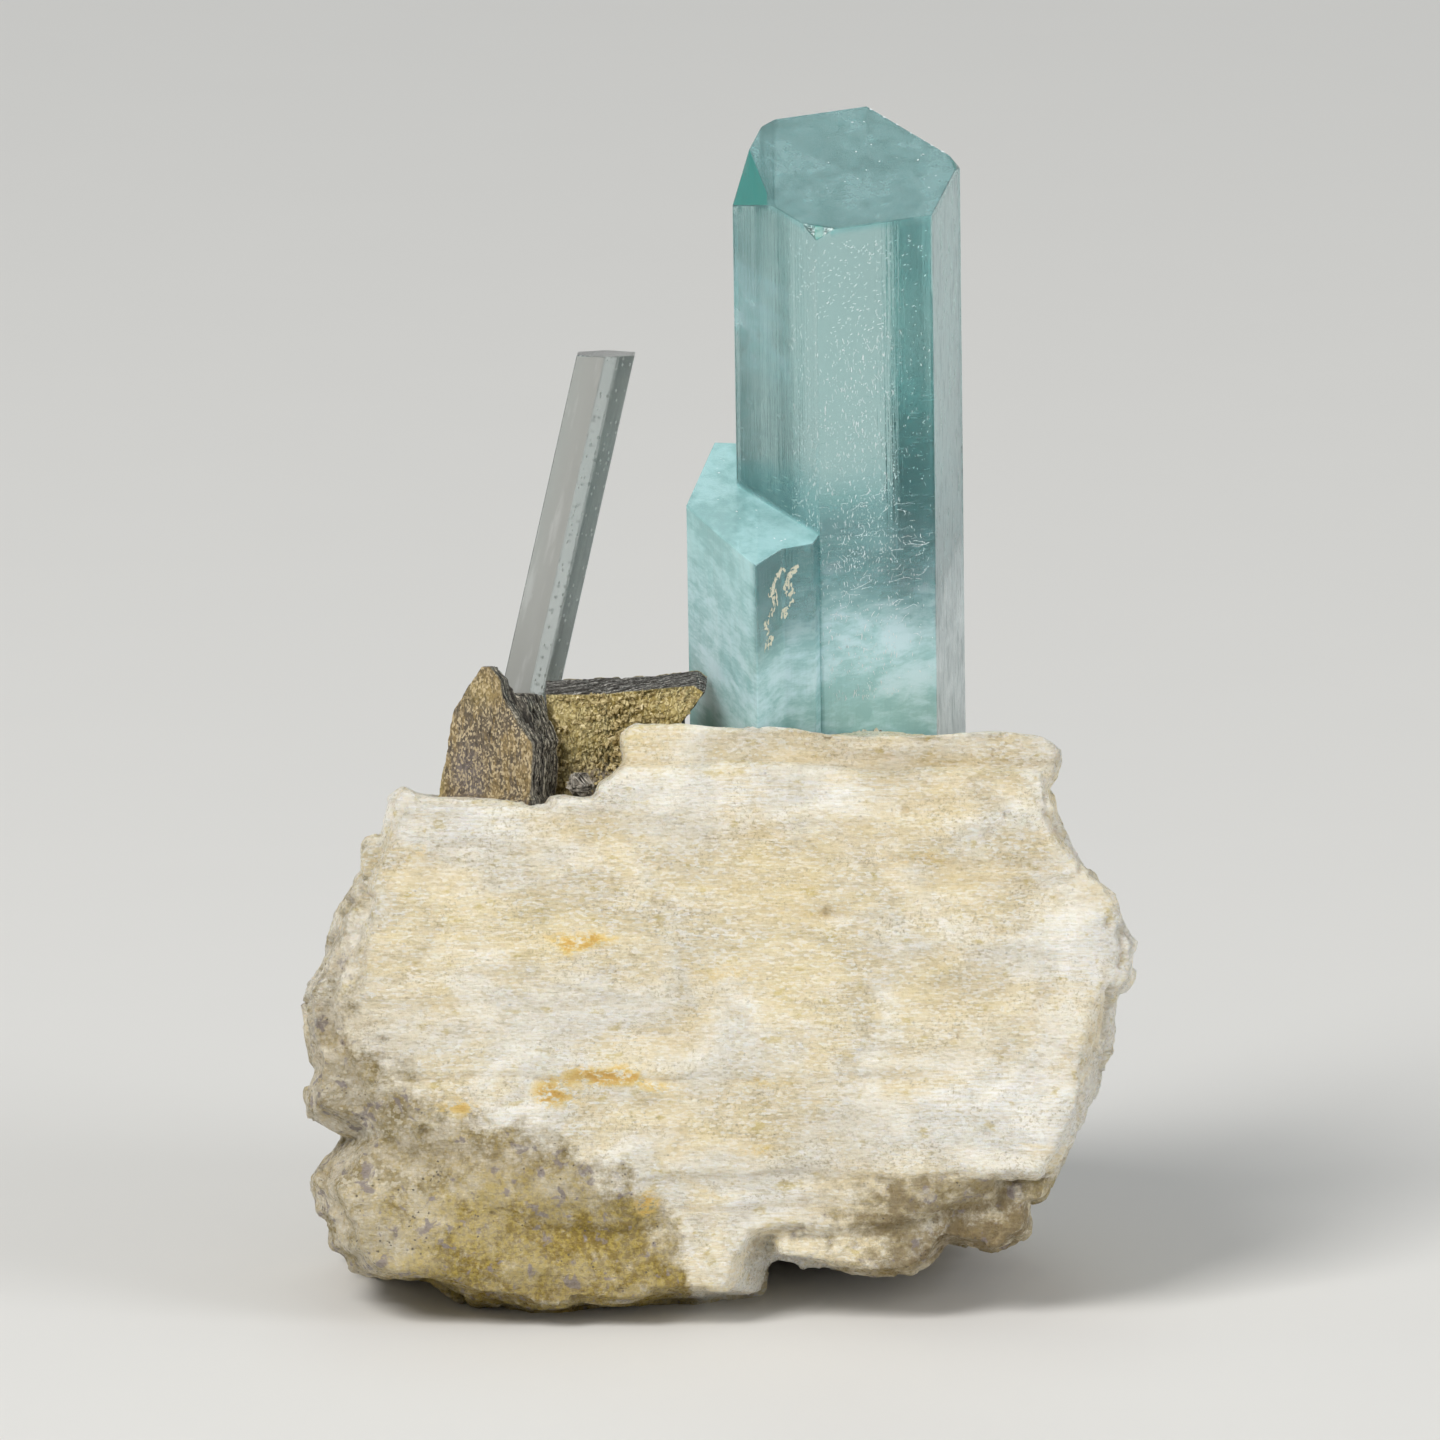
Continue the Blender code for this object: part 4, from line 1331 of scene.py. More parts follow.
@dataclass
class AquamarinePair:
    """The main crystal and its side crystal, one solid, in the axis frame."""

    finish: AquamarineFinish = field(default_factory=AquamarineFinish)
    face_turn: float = 42.5
    face_distances: tuple[float, ...] = (7.04, 8.1, 7.84, 6.92, 7.0, 7.67)
    side_outline: tuple[tuple[float, float], ...] = (
        (-12.3, -3.4), (-9.9, -7.2), (-7.2, -11.3), (-5.2, -9.2), (-2.9, -8.6),
        (0.0, -2.0), (-4.0, 4.2), (-10.1, 4.8),
    )  # fmt: skip
    side_top: float = -27.6
    top_rim: float = -0.3
    sharp_angle: float = math.radians(20.0)
    edge_width: float = 0.07
    strip: float = 0.24
    step: float = 0.9
    striation: float = 0.035
    milk_levels: tuple[float, float] = (-24.0, -40.0)
    window_x: tuple[float, float] = (-7.6, -7.0)
    window_y: tuple[float, float] = (-4.0, -5.0)
    window_z: tuple[float, float] = (-38.0, -34.5)
    haze_x: tuple[float, float] = (-3.9, -4.8)
    haze_level: float = -11.5
    haze_reach: tuple[float, float] = (7.5, 2.5)
    side_milk: float = 0.76
    root_milk: float = 0.84
    haze_milk: float = 0.46
    side_top_milk: float = 0.66
    top_milk: float = 0.40
    # Milk on the small tilted faces, which lets their painted deeper teal shade show, and how much of that
    # shade the tops get
    deep_milk: float = 0.52
    top_teal_shade: float = 0.2
    frosts: tuple[tuple[float, float], ...] = ((342.5, 1.0), (213.0, 0.12), (222.5, 0.12))

    def face_axes(self, number: int) -> tuple[Points, Points]:
        """The outward direction of one of the main crystal's side faces, and the level one along it."""
        return level_axes(math.radians(self.face_turn + 60.0 * number))

    def depth_at(self, number: int, x: float) -> float:
        """The y of one of the main crystal's side faces at an x."""
        bearing = math.radians(self.face_turn + 60.0 * number)
        return (self.face_distances[number] - x * math.cos(bearing)) / math.sin(bearing)

    def sharp_edges(self, mesh: BMesh) -> list[BMEdge]:
        """Outward edges over the sharp angle."""
        edges = (edge for edge in mesh.edges if edge.is_manifold and edge.is_convex)
        return [edge for edge in edges if edge.calc_face_angle() > self.sharp_angle]

    def slice(self, mesh: BMesh) -> None:
        """Cuts the faces into upright strips and short steps, without moving them.

        Args:
            mesh: The pair, in the axis frame.
        """
        spots = [vertex.co for vertex in mesh.verts]
        left, right = (int(edge(s.x for s in spots) / self.strip) for edge in (min, max))
        planes = [((i * self.strip, 0.0, 0.0), (1.0, 0.0, 0.0)) for i in range(left, right + 1)]
        low = int(min(s.z for s in spots) / self.step)
        planes += [((0.0, 0.0, i * self.step), (0.0, 0.0, 1.0)) for i in range(low, 0)]
        for spot, direction in planes:
            score(mesh, spot, direction)

    def striate(self, mesh: BMesh) -> None:
        """Raises and sinks the strips a little, and leaves every edge where it is.

        Args:
            mesh: The pair, in the axis frame.
        """
        inner, normals, spots = [], [], []
        for vertex in mesh.verts:
            first = vertex.link_faces[0].normal
            if all(face.normal.dot(first) > 0.999 for face in vertex.link_faces):
                inner.append(vertex)
                normals.append(first)
                spots.append(vertex.co)
        normal, spot = np.array(normals), np.array(spots)
        upright = 1.0 - np.abs(normal[:, 2])
        side = np.cross(normal, UP)
        across = (spot * side).sum(axis=1) + 37.0 * np.round(normal[:, 0], 1)
        zeros = np.zeros(len(spot))
        lines = layered_noise(np.stack([across * 1.1, spot[:, 2] * 0.03, zeros], axis=1), 71, 3, 0.6)
        wide = np.stack([across * 0.35, spot[:, 2] * 0.02, zeros], axis=1)
        steps = terraces(smooth_noise(wide, 72) * 3.0) / 3.0
        bumps = layered_noise(spot * 0.5, 73, 2)
        smooth_front = normal @ self.face_axes(FRONT_FACE)[0] > 0.99
        strength = upright * np.where(smooth_front, 0.3, 1.0) * self.striation
        height = strength * (lines + 2.2 * steps) + 0.008 * bumps
        for vertex, direction, rise in zip(inner, normals, height):
            vertex.co += Vector(direction) * rise

    def frost(self, mesh: BMesh) -> np.ndarray:
        """How frosted each point is, by the way that its faces look.

        Args:
            mesh: The pair, in the axis frame.

        Returns:
            From 0 to 1, for each point.
        """
        looks = [(Vector(level_axes(math.radians(way))[0]), strength) for way, strength in self.frosts]
        values = []
        for vertex in mesh.verts:
            found = []
            for face in vertex.link_faces:
                seen = (strength for way, strength in looks if face.normal.dot(way) > 0.996)
                found.append(max(seen, default=0.0))
            values.append(sum(found) / len(found))
        return np.array(values)

    def cloudiness(self, spot: Points) -> tuple[np.ndarray, np.ndarray]:
        """How milky and how wispy each point is: the side crystal, the tops, and the main one's root.

        Args:
            spot: Points in the axis frame.

        Returns:
            Milk and wisps, each from 0 to 1 for each point.
        """
        seam = (np.abs(spot[:, 2] - self.side_top) < 0.02) & ~self.inside_main(spot, 0.05)
        side = (spot[:, 2] < self.side_top + 0.02) & ~self.inside_main(spot, -0.12) | seam
        upward = np.where(side, spot[:, 2] > self.side_top - 0.05, spot[:, 2] > self.top_rim)
        window = ease(spot[:, 0], *self.window_x) * ease(spot[:, 1], *self.window_y)
        window *= ease(spot[:, 2], self.side_top - 0.03, self.side_top - 0.06)
        window *= ease(spot[:, 2], *self.window_z)
        drift = 2.5 * layered_noise(spot * 0.12, 74, 3)
        root = ease(spot[:, 2] + drift, *self.milk_levels)
        haze = ease(spot[:, 0], *self.haze_x)
        haze *= ease(np.abs(spot[:, 2] - self.haze_level), *self.haze_reach)
        haze *= 0.62 + 0.6 * layered_noise(spot * (0.3, 0.3, 0.45), 75, 3)
        side_body = self.side_milk - 0.66 * window * (1.0 - 0.7 * root)
        main_body = np.maximum(self.root_milk * root, self.haze_milk * haze)
        tops = np.where(side, self.side_top_milk, self.top_milk)
        milk = np.where(upward, tops, np.where(side, side_body, main_body))
        return milk, np.where(upward, 0.32, np.where(side, 0.20 + 0.60 * root, 0.85))

    def on_tilted_faces(self, mesh: BMesh) -> np.ndarray:
        """Which points belong to the small faces between top and sides, which get a painted deeper teal
        shade.

        Args:
            mesh: The pair, in the axis frame.

        Returns:
            True for each point that does.
        """
        found = np.zeros(len(mesh.verts), dtype=bool)
        mesh.verts.index_update()
        for face in mesh.faces:
            if 0.12 < face.normal.z < 0.95 and face.calc_area() > 0.09 * face.calc_perimeter():
                found[[vertex.index for vertex in face.verts]] = True
        return found

    def build(self) -> Object:
        """The finished crystals.

        Returns:
            The pair.
        """
        mesh = node_in_millimetres("aquamarine_crystals", WORLD_FROM_AXIS)
        edges = mesh.edges[:]
        bmesh.ops.dissolve_limit(mesh, angle_limit=math.radians(0.5), verts=mesh.verts[:], edges=edges)
        bmesh.ops.bevel(
            mesh, geom=self.sharp_edges(mesh), offset=self.edge_width, segments=1, affect="EDGES",
            clamp_overlap=True,
        )  # fmt: skip
        self.slice(mesh)
        mesh.normal_update()
        frosted = self.frost(mesh)
        spot = np.array([vertex.co for vertex in mesh.verts])
        milky, wispy = self.cloudiness(spot)
        tilted = self.on_tilted_faces(mesh)
        on_top = spot[:, 2] > self.top_rim
        self.striate(mesh)
        pair = solid_object("aquamarine_pair", mesh, WORLD_FROM_AXIS, self.finish.material())
        mark_points(pair.data, "frost", frosted)
        # Painted shade: the small tilted faces, and the tops a little, get a deeper teal
        mark_points(pair.data, "milk", np.where(tilted, self.deep_milk, milky))
        mark_points(pair.data, "wispy", np.where(tilted, 0.0, wispy))
        mark_points(pair.data, "deep", np.where(tilted, 1.0, self.top_teal_shade * on_top))
        shade_smooth(pair, 18.0)
        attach(pair, "root")
        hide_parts("aquamarine_crystals")
        return pair

    def inside_main(self, spot: Points, margin: float) -> np.ndarray:
        """Which points lie in the main crystal, at least margin from its sides.

        Args:
            spot: Points in the axis frame.
            margin: How deep a point has to lie.

        Returns:
            True for each point that does.
        """
        kept = spot[:, 2] < -margin
        for number, distance in enumerate(self.face_distances):
            bearing = math.radians(self.face_turn + 60.0 * number)
            kept &= spot[:, 0] * math.cos(bearing) + spot[:, 1] * math.sin(bearing) < distance - margin
        return kept

    def inside_side(self, spot: Points, margin: float) -> np.ndarray:
        """Which points lie in the side crystal, at least margin from its sides.

        Args:
            spot: Points in the axis frame.
            margin: How deep a point has to lie.

        Returns:
            True for each point that does.
        """
        outline = np.array(self.side_outline)
        kept = spot[:, 2] < self.side_top - margin
        for near, far in zip(outline, np.roll(outline, -1, axis=0)):
            edge = (far - near) / np.linalg.norm(far - near)
            reach = edge[0] * (spot[:, 1] - near[1]) - edge[1] * (spot[:, 0] - near[0])
            kept &= reach > margin
        return kept


@dataclass
class Inclusions:
    """What is sealed in the aquamarines, and the small marks on their faces."""

    pair: AquamarinePair
    seed: int = 5
    veils: int = 170
    flecks: int = 1300
    etch_marks: int = 2600
    speck_tries: int = 120
    cracks: int = 46
    film_flakes: int = 190
    lowest: float = -47.0
    lift: float = 0.01
    half_thickness: float = 0.025
    etch_levels: tuple[tuple[float, float], ...] = ((-10.0, -1.2), (-31.0, -10.0), (-43.0, -29.0))
    etch_shares: tuple[float, ...] = (0.17, 0.59, 0.24)
    crack_levels: tuple[float, float] = (-38.5, -24.0)
    front_span: tuple[float, float] = (-1.9, 6.0)
    meeting: tuple[float, float] = (-5.2, -9.2)

    def spots(
        self, rng: np.random.Generator, count: int, top: float, margin: float, side_share: float
    ) -> Points:
        """Chance places inside the crystals, denser towards the root.

        Args:
            rng: Where chance comes from.
            count: How many.
            top: The highest of them.
            margin: How far they stay from the surface.
            side_share: How many of them are in the side crystal.

        Returns:
            One row of three for each.
        """
        found = []
        for test, share in ((self.pair.inside_main, 1.0 - side_share), (self.pair.inside_side, side_share)):
            wide = rng.uniform((-13.0, -12.0, 0.0), (9.0, 9.0, 1.0), (count * 12, 3))
            wide[:, 2] = top + (self.lowest - top) * wide[:, 2] ** 0.6
            found.append(wide[test(wide, margin)][: int(count * share)])
        return np.vstack(found)

    def wisp(
        self, shards: Shards, centre: Points, length: float, width: float, rng: np.random.Generator
    ) -> None:
        """Adds a thin plate nearly square to the axis, if the crystals hold all of it.

        Args:
            shards: Where the plate goes.
            centre: Its middle, in the axis frame.
            length: Half its length.
            width: Half its width.
            rng: The source of chance.
        """
        turn, tilt = rng.normal(0.0, 0.5), rng.normal(0.0, 0.28)
        along = np.array([math.cos(turn), math.sin(turn), 0.3 * tilt]) * length
        across = np.cross(UP, along) / max(length, 1e-6) * width + UP * tilt * width
        corners = [0.7 * (along + across), 0.7 * (along - across)]
        reach = 1.3 * np.array([along, -along, across, -across, *corners])
        ends = centre + np.vstack([reach, -reach[4:]])
        if (self.pair.inside_main(ends, 0.08) | self.pair.inside_side(ends, 0.08)).all():
            shards.plate(centre, across, along, 0.012, rng.uniform(0.65, 1.25, 9))

    def build(self) -> list[Object]:
        """The veils, the flecks, the marks on the faces and the film.

        Returns:
            The pieces, in that order.
        """
        rng = np.random.default_rng(self.seed)
        veils, flecks, marks, film = Shards(), Shards(), Shards(), Shards()
        for centre in self.spots(rng, self.veils, top=-30.0, margin=1.6, side_share=0.25):
            self.wisp(veils, centre, rng.uniform(1.4, 3.0), rng.uniform(0.7, 1.6), rng)
        for centre in self.spots(rng, self.flecks, top=-14.0, margin=0.35, side_share=0.2):
            self.wisp(flecks, centre, min(rng.gamma(2.0, 0.09), 0.5), rng.uniform(0.02, 0.09), rng)
        self.etch(marks, rng)
        self.chips(marks, rng)
        self.specks(marks, rng)
        self.feathers(marks, rng)
        self.contact_film(film, rng)
        white = FleckFinish("fleck_white", (0.86, 0.93, 0.95)).material()
        cream = FleckFinish("film", (0.80, 0.79, 0.63)).material()
        veil = VeilFinish().material()
        made = [
            veils.build("aquamarine_veils", WORLD_FROM_AXIS, veil),
            flecks.build("aquamarine_flecks", WORLD_FROM_AXIS, white),
            marks.build("aquamarine_etch_marks", WORLD_FROM_AXIS, white),
            film.build("aquamarine_contact_film", WORLD_FROM_AXIS, cream),
        ]
        for piece in made:
            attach(piece, "root")
        return made

    def etch(self, marks: Shards, rng: np.random.Generator) -> None:
        """Short bright etch marks on the two front faces, few near the top and thick lower down.

        Args:
            marks: Where the marks go.
            rng: The source of chance.
        """
        least, most = self.front_span
        for _ in range(self.etch_marks):
            front = rng.uniform() < 0.76
            number = FRONT_FACE if front else LEFT_FACE
            outward, sideways = self.pair.face_axes(number)
            z = rng.choice([rng.uniform(*levels) for levels in self.etch_levels], p=self.etch_shares)
            if front:
                x = rng.uniform(least, 3.4) if rng.uniform() < 0.9 else rng.uniform(3.4, most)
                x += 0.5 * round(2.0 * rng.normal(0.0, 0.3)) if rng.uniform() < 0.5 else 0.0
                x = min(max(x, least), most)
            else:
                x = rng.uniform(-4.4, -2.1)
            spot = np.array([x, self.pair.depth_at(number, x), z]) + outward * self.lift
            lean, reach = (rng.normal(0.0, 0.3), 0.34) if z < -10.0 else (rng.normal(1.0, 0.7), 0.12)
            along = sideways * math.sin(lean) + UP * math.cos(lean)
            along = along * min(rng.gamma(1.6, 0.06), reach)
            across = np.cross(outward, along / np.linalg.norm(along)) * rng.uniform(0.014, 0.04)
            marks.plate(spot, across, along, self.half_thickness, rng.uniform(0.6, 1.3, 6))

    def contact_film(self, film: Shards, rng: np.random.Generator) -> None:
        """Two ragged pale films beside the corner where the side crystal meets the main one.

        Args:
            film: Where the plates go.
            rng: The source of chance.
        """
        # The side crystal's two front faces meet here; each has its bearing and its slope in y
        corner, depth = self.meeting
        for _ in range(self.film_flakes):
            share, left = rng.uniform(0.0, 1.0) ** 1.3, rng.uniform() < 0.6
            z = -29.4 - share * (6.4 if left else 4.4)
            x = -5.5 - 1.1 * share if left else -4.5 - 0.45 * share
            x += 0.25 * math.sin(z * 2.1) + rng.normal(0.0, 0.14)
            bearing, slope = (-43.6, 1.05) if x < corner else (-75.4, 0.26)
            outward, sideways = level_axes(math.radians(bearing))
            along = UP * rng.uniform(0.06, 0.30)
            centre = np.array([x, depth + (x - corner) * slope, z]) + outward * self.lift
            across = sideways * rng.uniform(0.03, 0.13)
            film.plate(centre, across, along, self.half_thickness, rng.uniform(0.5, 1.3, 7))

    def chips(self, marks: Shards, rng: np.random.Generator) -> None:
        """A few small chips along the far edge of the main crystal's top.

        Args:
            marks: Where the chips go.
            rng: The source of chance.
        """
        near, far = np.array([1.62, 8.66, 0.0]), np.array([7.62, 2.11, 0.0])
        for share in (0.06, 0.22, 0.38, 0.55, 0.71, 0.8, 0.93):
            size = rng.uniform(0.10, 0.24)
            across, along = np.array([0.55, -0.6, 0.0]) * size, np.array([0.5, 0.46, -0.2]) * size
            centre = near + (far - near) * share - np.array([0.06, 0.05, 0.0])
            marks.plate(centre, across, along, 0.03, rng.uniform(0.6, 1.3, 7))

    def specks(self, marks: Shards, rng: np.random.Generator) -> None:
        """A few pale specks on both tops.

        Args:
            marks: Where the specks go.
            rng: The source of chance.
        """
        side_top = self.pair.side_top
        for _ in range(self.speck_tries):
            x, y = rng.uniform(-10.0, 8.0), rng.uniform(-12.0, 8.5)
            level = 0.0 if x > -2.0 and y > -3.0 else side_top
            spot = np.array([[x, y, level - 1.0]])
            on_main = level == 0.0 and self.pair.inside_main(spot, 0.5)[0]
            clear = not self.pair.inside_main(spot, -0.4)[0]
            on_side = self.pair.inside_side(spot, 0.4)[0] and clear
            if not (on_main or on_side):
                continue
            turn, size = rng.uniform(0.0, math.pi), rng.uniform(0.03, 0.10)
            ahead, aside = level_axes(turn)
            across = aside * size * rng.uniform(0.3, 0.9)
            spot = np.array([x, y, level + 0.008])
            marks.plate(spot, across, ahead * size, 0.02, rng.uniform(0.6, 1.3, 6))

    def feathers(self, marks: Shards, rng: np.random.Generator) -> None:
        """Short pale cracks, nearly level, low on the main crystal's front.

        Args:
            marks: Where the cracks go.
            rng: The source of chance.
        """
        outward, sideways = self.pair.face_axes(FRONT_FACE)
        least, most = self.front_span
        for _ in range(self.cracks):
            x, z, heading = rng.uniform(-1.6, 5.6), rng.uniform(*self.crack_levels), rng.normal(0.1, 0.25)
            spot = np.array([x, self.pair.depth_at(FRONT_FACE, x), z]) + outward * self.lift
            for _ in range(rng.integers(3, 11)):
                step = sideways * math.cos(heading) + UP * math.sin(heading)
                length = rng.uniform(0.05, 0.15)
                across = np.cross(outward, step) * rng.uniform(0.012, 0.032)
                marks.plate(spot, across, step * length, self.half_thickness, rng.uniform(0.6, 1.3, 6))
                spot = spot + step * length * 1.7
                heading += rng.normal(0.0, 0.35)
                if not least < spot[0] < most:
                    break


@dataclass
class SlenderBeryl:
    """The thin clear prism, in its own frame, with fine upright strips."""

    finish: ClearBerylFinish = field(default_factory=ClearBerylFinish)
    edge_width: float = 0.05
    length: int = 38

    def build(self) -> Object:
        """The finished prism.

        Returns:
            The prism.
        """
        mesh = node_in_millimetres("slender_beryl", WORLD_FROM_SLENDER)
        edges = mesh.edges[:]
        bmesh.ops.dissolve_limit(mesh, angle_limit=math.radians(0.5), verts=mesh.verts[:], edges=edges)
        bmesh.ops.bevel(mesh, geom=mesh.edges[:], offset=self.edge_width, segments=1, affect="EDGES")
        for number in range(-self.length, 0):
            score(mesh, (0.0, 0.0, number), UP)
        prism = solid_object("slender_prism", mesh, WORLD_FROM_SLENDER, self.finish.material())
        shade_smooth(prism, 18.0)
        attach(prism, "root")
        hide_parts("slender_beryl")
        return prism


# ---- the mica


@dataclass
class MicaBook:
    """A stack of mica sheets as one closed solid: ragged sheet edges and a stepped, flaky face."""

    name: str
    node: str
    slot: Slot
    finish: MicaFinish
    outline: tuple[tuple[float, float], ...]
    low_outline: tuple[tuple[float, float], ...]
    middle: tuple[float, float]
    front: float
    yaw: float
    stack: Vector
    seed: int
    rock_level: Callable[[Points], np.ndarray]
    # Patches of painted shade (above 0) and painted light (below 0) on the broad face
    light_and_shade_patches: tuple[Patch, ...]
    layers: int = 22
    around: int = 150
    rings: int = 26
    tall_share: float = 1.0
    groove: float = 0.16
    ragged: float = 0.30
    relief: float = 0.10
    root_growth: float = 0.42

    def resampled(self, outline: Sequence[tuple[float, float]]) -> Points:
        """Points round an outline, with as many between two corners as the book's own outline has.

        Args:
            outline: Corners in the face's own plane.

        Returns:
            The points, evenly spaced between corners.
        """
        corners = np.array(outline)
        own = np.array(self.outline)
        lengths = np.linalg.norm(np.roll(own, -1, axis=0) - own, axis=1)
        shares = np.maximum(np.round(lengths / lengths.sum() * self.around).astype(int), 1)
        runs = [
            near + (far - near) * np.linspace(0.0, 1.0, share, endpoint=False)[:, None]
            for near, far, share in zip(corners, np.roll(corners, -1, axis=0), shares)
        ]
        return np.vstack(runs)

    def in_space(self, flat: Points, shift: float) -> Points:
        """Puts points of a sheet at its place in the stack.

        Args:
            flat: Points in the face's own plane.
            shift: From 0 at the front of the stack to 1 at its back.

        Returns:
            Points in the face frame.
        """
        right = max(x for x, _ in self.outline)
        depth = self.front + (right - flat[:, 0]) * math.tan(self.yaw)
        return np.stack([flat[:, 0], depth, flat[:, 1]], axis=1) + np.array(self.stack) * shift

    def sheet_rings(self) -> list[Points]:
        """The outline of each sheet's front and back, with the grooves between them.

        Returns:
            One ring of points for each sheet's edge, front to back.
        """
        tall, low = self.resampled(self.outline), self.resampled(self.low_outline)
        centre = np.array(self.middle)
        rng = np.random.default_rng(self.seed)
        rings = []
        edges = np.concatenate([[0.0], np.cumsum(rng.uniform(0.5, 1.6, self.layers))])
        edges /= edges[-1]
        angle = np.linspace(0.0, 2.0 * math.pi, len(tall), endpoint=False)
        for number, (near, far) in enumerate(zip(edges, edges[1:])):
            lowered = ease(np.array([near]), self.tall_share, self.tall_share * 1.3 + 0.02)[0]
            flat = tall * (1.0 - lowered) + low * lowered
            own = np.full(len(angle), number * 3.7)
            around = np.stack([np.cos(angle) * 5.0, np.sin(angle) * 5.0, own], axis=1)
            ragged = self.ragged * min(0.25 + 0.25 * number, 1.0)
            inset = ragged * np.clip(layered_noise(around, self.seed + 3, 4, 0.65) + 0.25, 0.0, 1.0)
            worn = ease(smooth_noise(around * 0.3, self.seed + number), -0.3, 0.5)
            inset += max(0, 2 - number) * 0.10 * worn
            reach = np.linalg.norm(flat - centre, axis=1)
            for shift, extra in ((near, 0.04), (far, 0.0), (far, self.groove)):
                share = 1.0 - (inset + extra) / reach
                rings.append(self.in_space(centre + (flat - centre) * share[:, None], shift))
            rings.append(self.in_space(centre + (flat - centre) * share[:, None], far + 0.15 * (far - near)))
        return rings[:-2]

    def face_height(self, spot: Points) -> np.ndarray:
        """Relief of the broad face: cleaved steps and fine scales.

        Args:
            spot: Points in the face frame.

        Returns:
            Millimetres out of the face, for each point.
        """
        steps = layered_noise(spot * (0.25, 0.25, 0.32), self.seed + 11, 3, 0.6)
        scales = Cells.around(spot * (2.0, 2.0, 2.2), self.seed + 12)
        height = self.relief * terraces(steps * 5.0, 6.0) / 2.0
        return height + self.relief * 0.8 * (scales.chance[:, 0] - 0.5 + 0.6 * scales.offset[:, 0])

    def build(self) -> Object:
        """The finished book.

        Returns:
            The book.
        """
        rings = self.sheet_rings()
        rim = rings[0]
        heart = self.in_space(np.array([self.middle]), 0.0)
        inner = [heart + (rim - heart) * (step / self.rings) for step in range(self.rings - 1, 0, -1)]
        count = len(rim)
        points = np.vstack([*inner[::-1], *rings])
        faces = [tuple(range(count))[::-1]]
        rows = len(inner) + len(rings)
        for row, i in itertools.product(range(rows - 1), range(count)):
            j = (i + 1) % count
            faces.append((row * count + i, row * count + j, (row + 1) * count + j, (row + 1) * count + i))
        faces.append(tuple((rows - 1) * count + i for i in range(count)))
        faced = len(inner) * count
        push = np.zeros(len(points))
        fading = ease(np.arange(len(inner)), len(inner), len(inner) - 3)
        push[:faced] = self.face_height(points[:faced]) * np.repeat(fading, count)
        lift = np.array(self.stack) / -self.stack.length
        points = points + push[:, None] * lift
        book = mesh_object(self.name, points, faces, self.finish.material())
        row = np.arange(len(points)) // count
        mark_points(book.data, "face", np.where((row <= len(inner)) | (row == rows - 1), 1.0, 0.0))
        # The tone mark carries the face's painted shade and painted light
        mark_points(book.data, "tone", np.clip(sum(tone.at(points) for tone in self.light_and_shade_patches), -1.0, 1.0))
        buried = ease(self.rock_level(points) - points[:, 2], -0.15, 0.35)
        normals = rows_of(book.data.vertex_normals, "vector")
        grown = points + normals * (buried * self.root_growth)[:, None]
        put_points(book.data, moved(grown, WORLD_FROM_FACE))
        self.mend(book)
        shade_smooth(book, 28.0)
        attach(book, "root")
        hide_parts(self.node)
        return book

    def mend(self, book: Object) -> None:
        """Makes every face look outwards.

        Args:
            book: The book, whose mesh is mended.
        """
        mesh = bmesh.new()
        mesh.from_mesh(book.data)
        bmesh.ops.recalc_face_normals(mesh, faces=mesh.faces)
        mesh.to_mesh(book.data)
        mesh.free()


def upright_book() -> MicaBook:
    """The brown-gold book that stands on edge at the left.

    Returns:
        The book's sizes and finish.
    """
    stack = Vector((2.0, 3.6, 0.0))
    return MicaBook(
        name="upright_mica_book",
        node="mica_book_upright",
        slot=Slot.MICA_SHEETS,
        finish=MicaFinish(
            "mica_sheets", face=(0.27, 0.19, 0.075), glint=(0.66, 0.54, 0.33), patch=(0.12, 0.09, 0.055),
            edge_light=(0.56, 0.51, 0.41), stack=stack.normalized(),
        ),
        outline=(
            (-21.2, 36.9), (-21.2, 39.2), (-20.6, 42.7), (-20.1, 45.4), (-19.1, 47.0), (-18.0, 48.4),
            (-17.4, 48.4), (-16.6, 47.4), (-16.4, 46.3), (-14.1, 42.7), (-14.5, 37.1),
        ),
        low_outline=(
            (-21.2, 36.9), (-21.2, 39.2), (-20.6, 42.7), (-20.1, 44.9), (-19.1, 45.9), (-18.2, 46.3),
            (-17.4, 46.4), (-16.4, 46.4), (-15.5, 46.3), (-14.1, 42.7), (-14.5, 37.1),
        ),
        middle=(-17.7, 41.8),
        front=1.1,
        yaw=math.radians(32.0),
        stack=stack,
        seed=210,
        rock_level=lambda points: np.full(len(points), 38.7),
        # Painted shade low on the left, painted light along the left edge and at the top
        light_and_shade_patches=(
            Patch(-19.0, 40.2, 1.5, 2.4, 1.1), Patch(-21.3, 41.0, 0.7, 4.0, -1.2),
            Patch(-18.2, 46.5, 2.0, 1.6, -0.5),
        ),
        tall_share=0.25,
    )  # fmt: skip


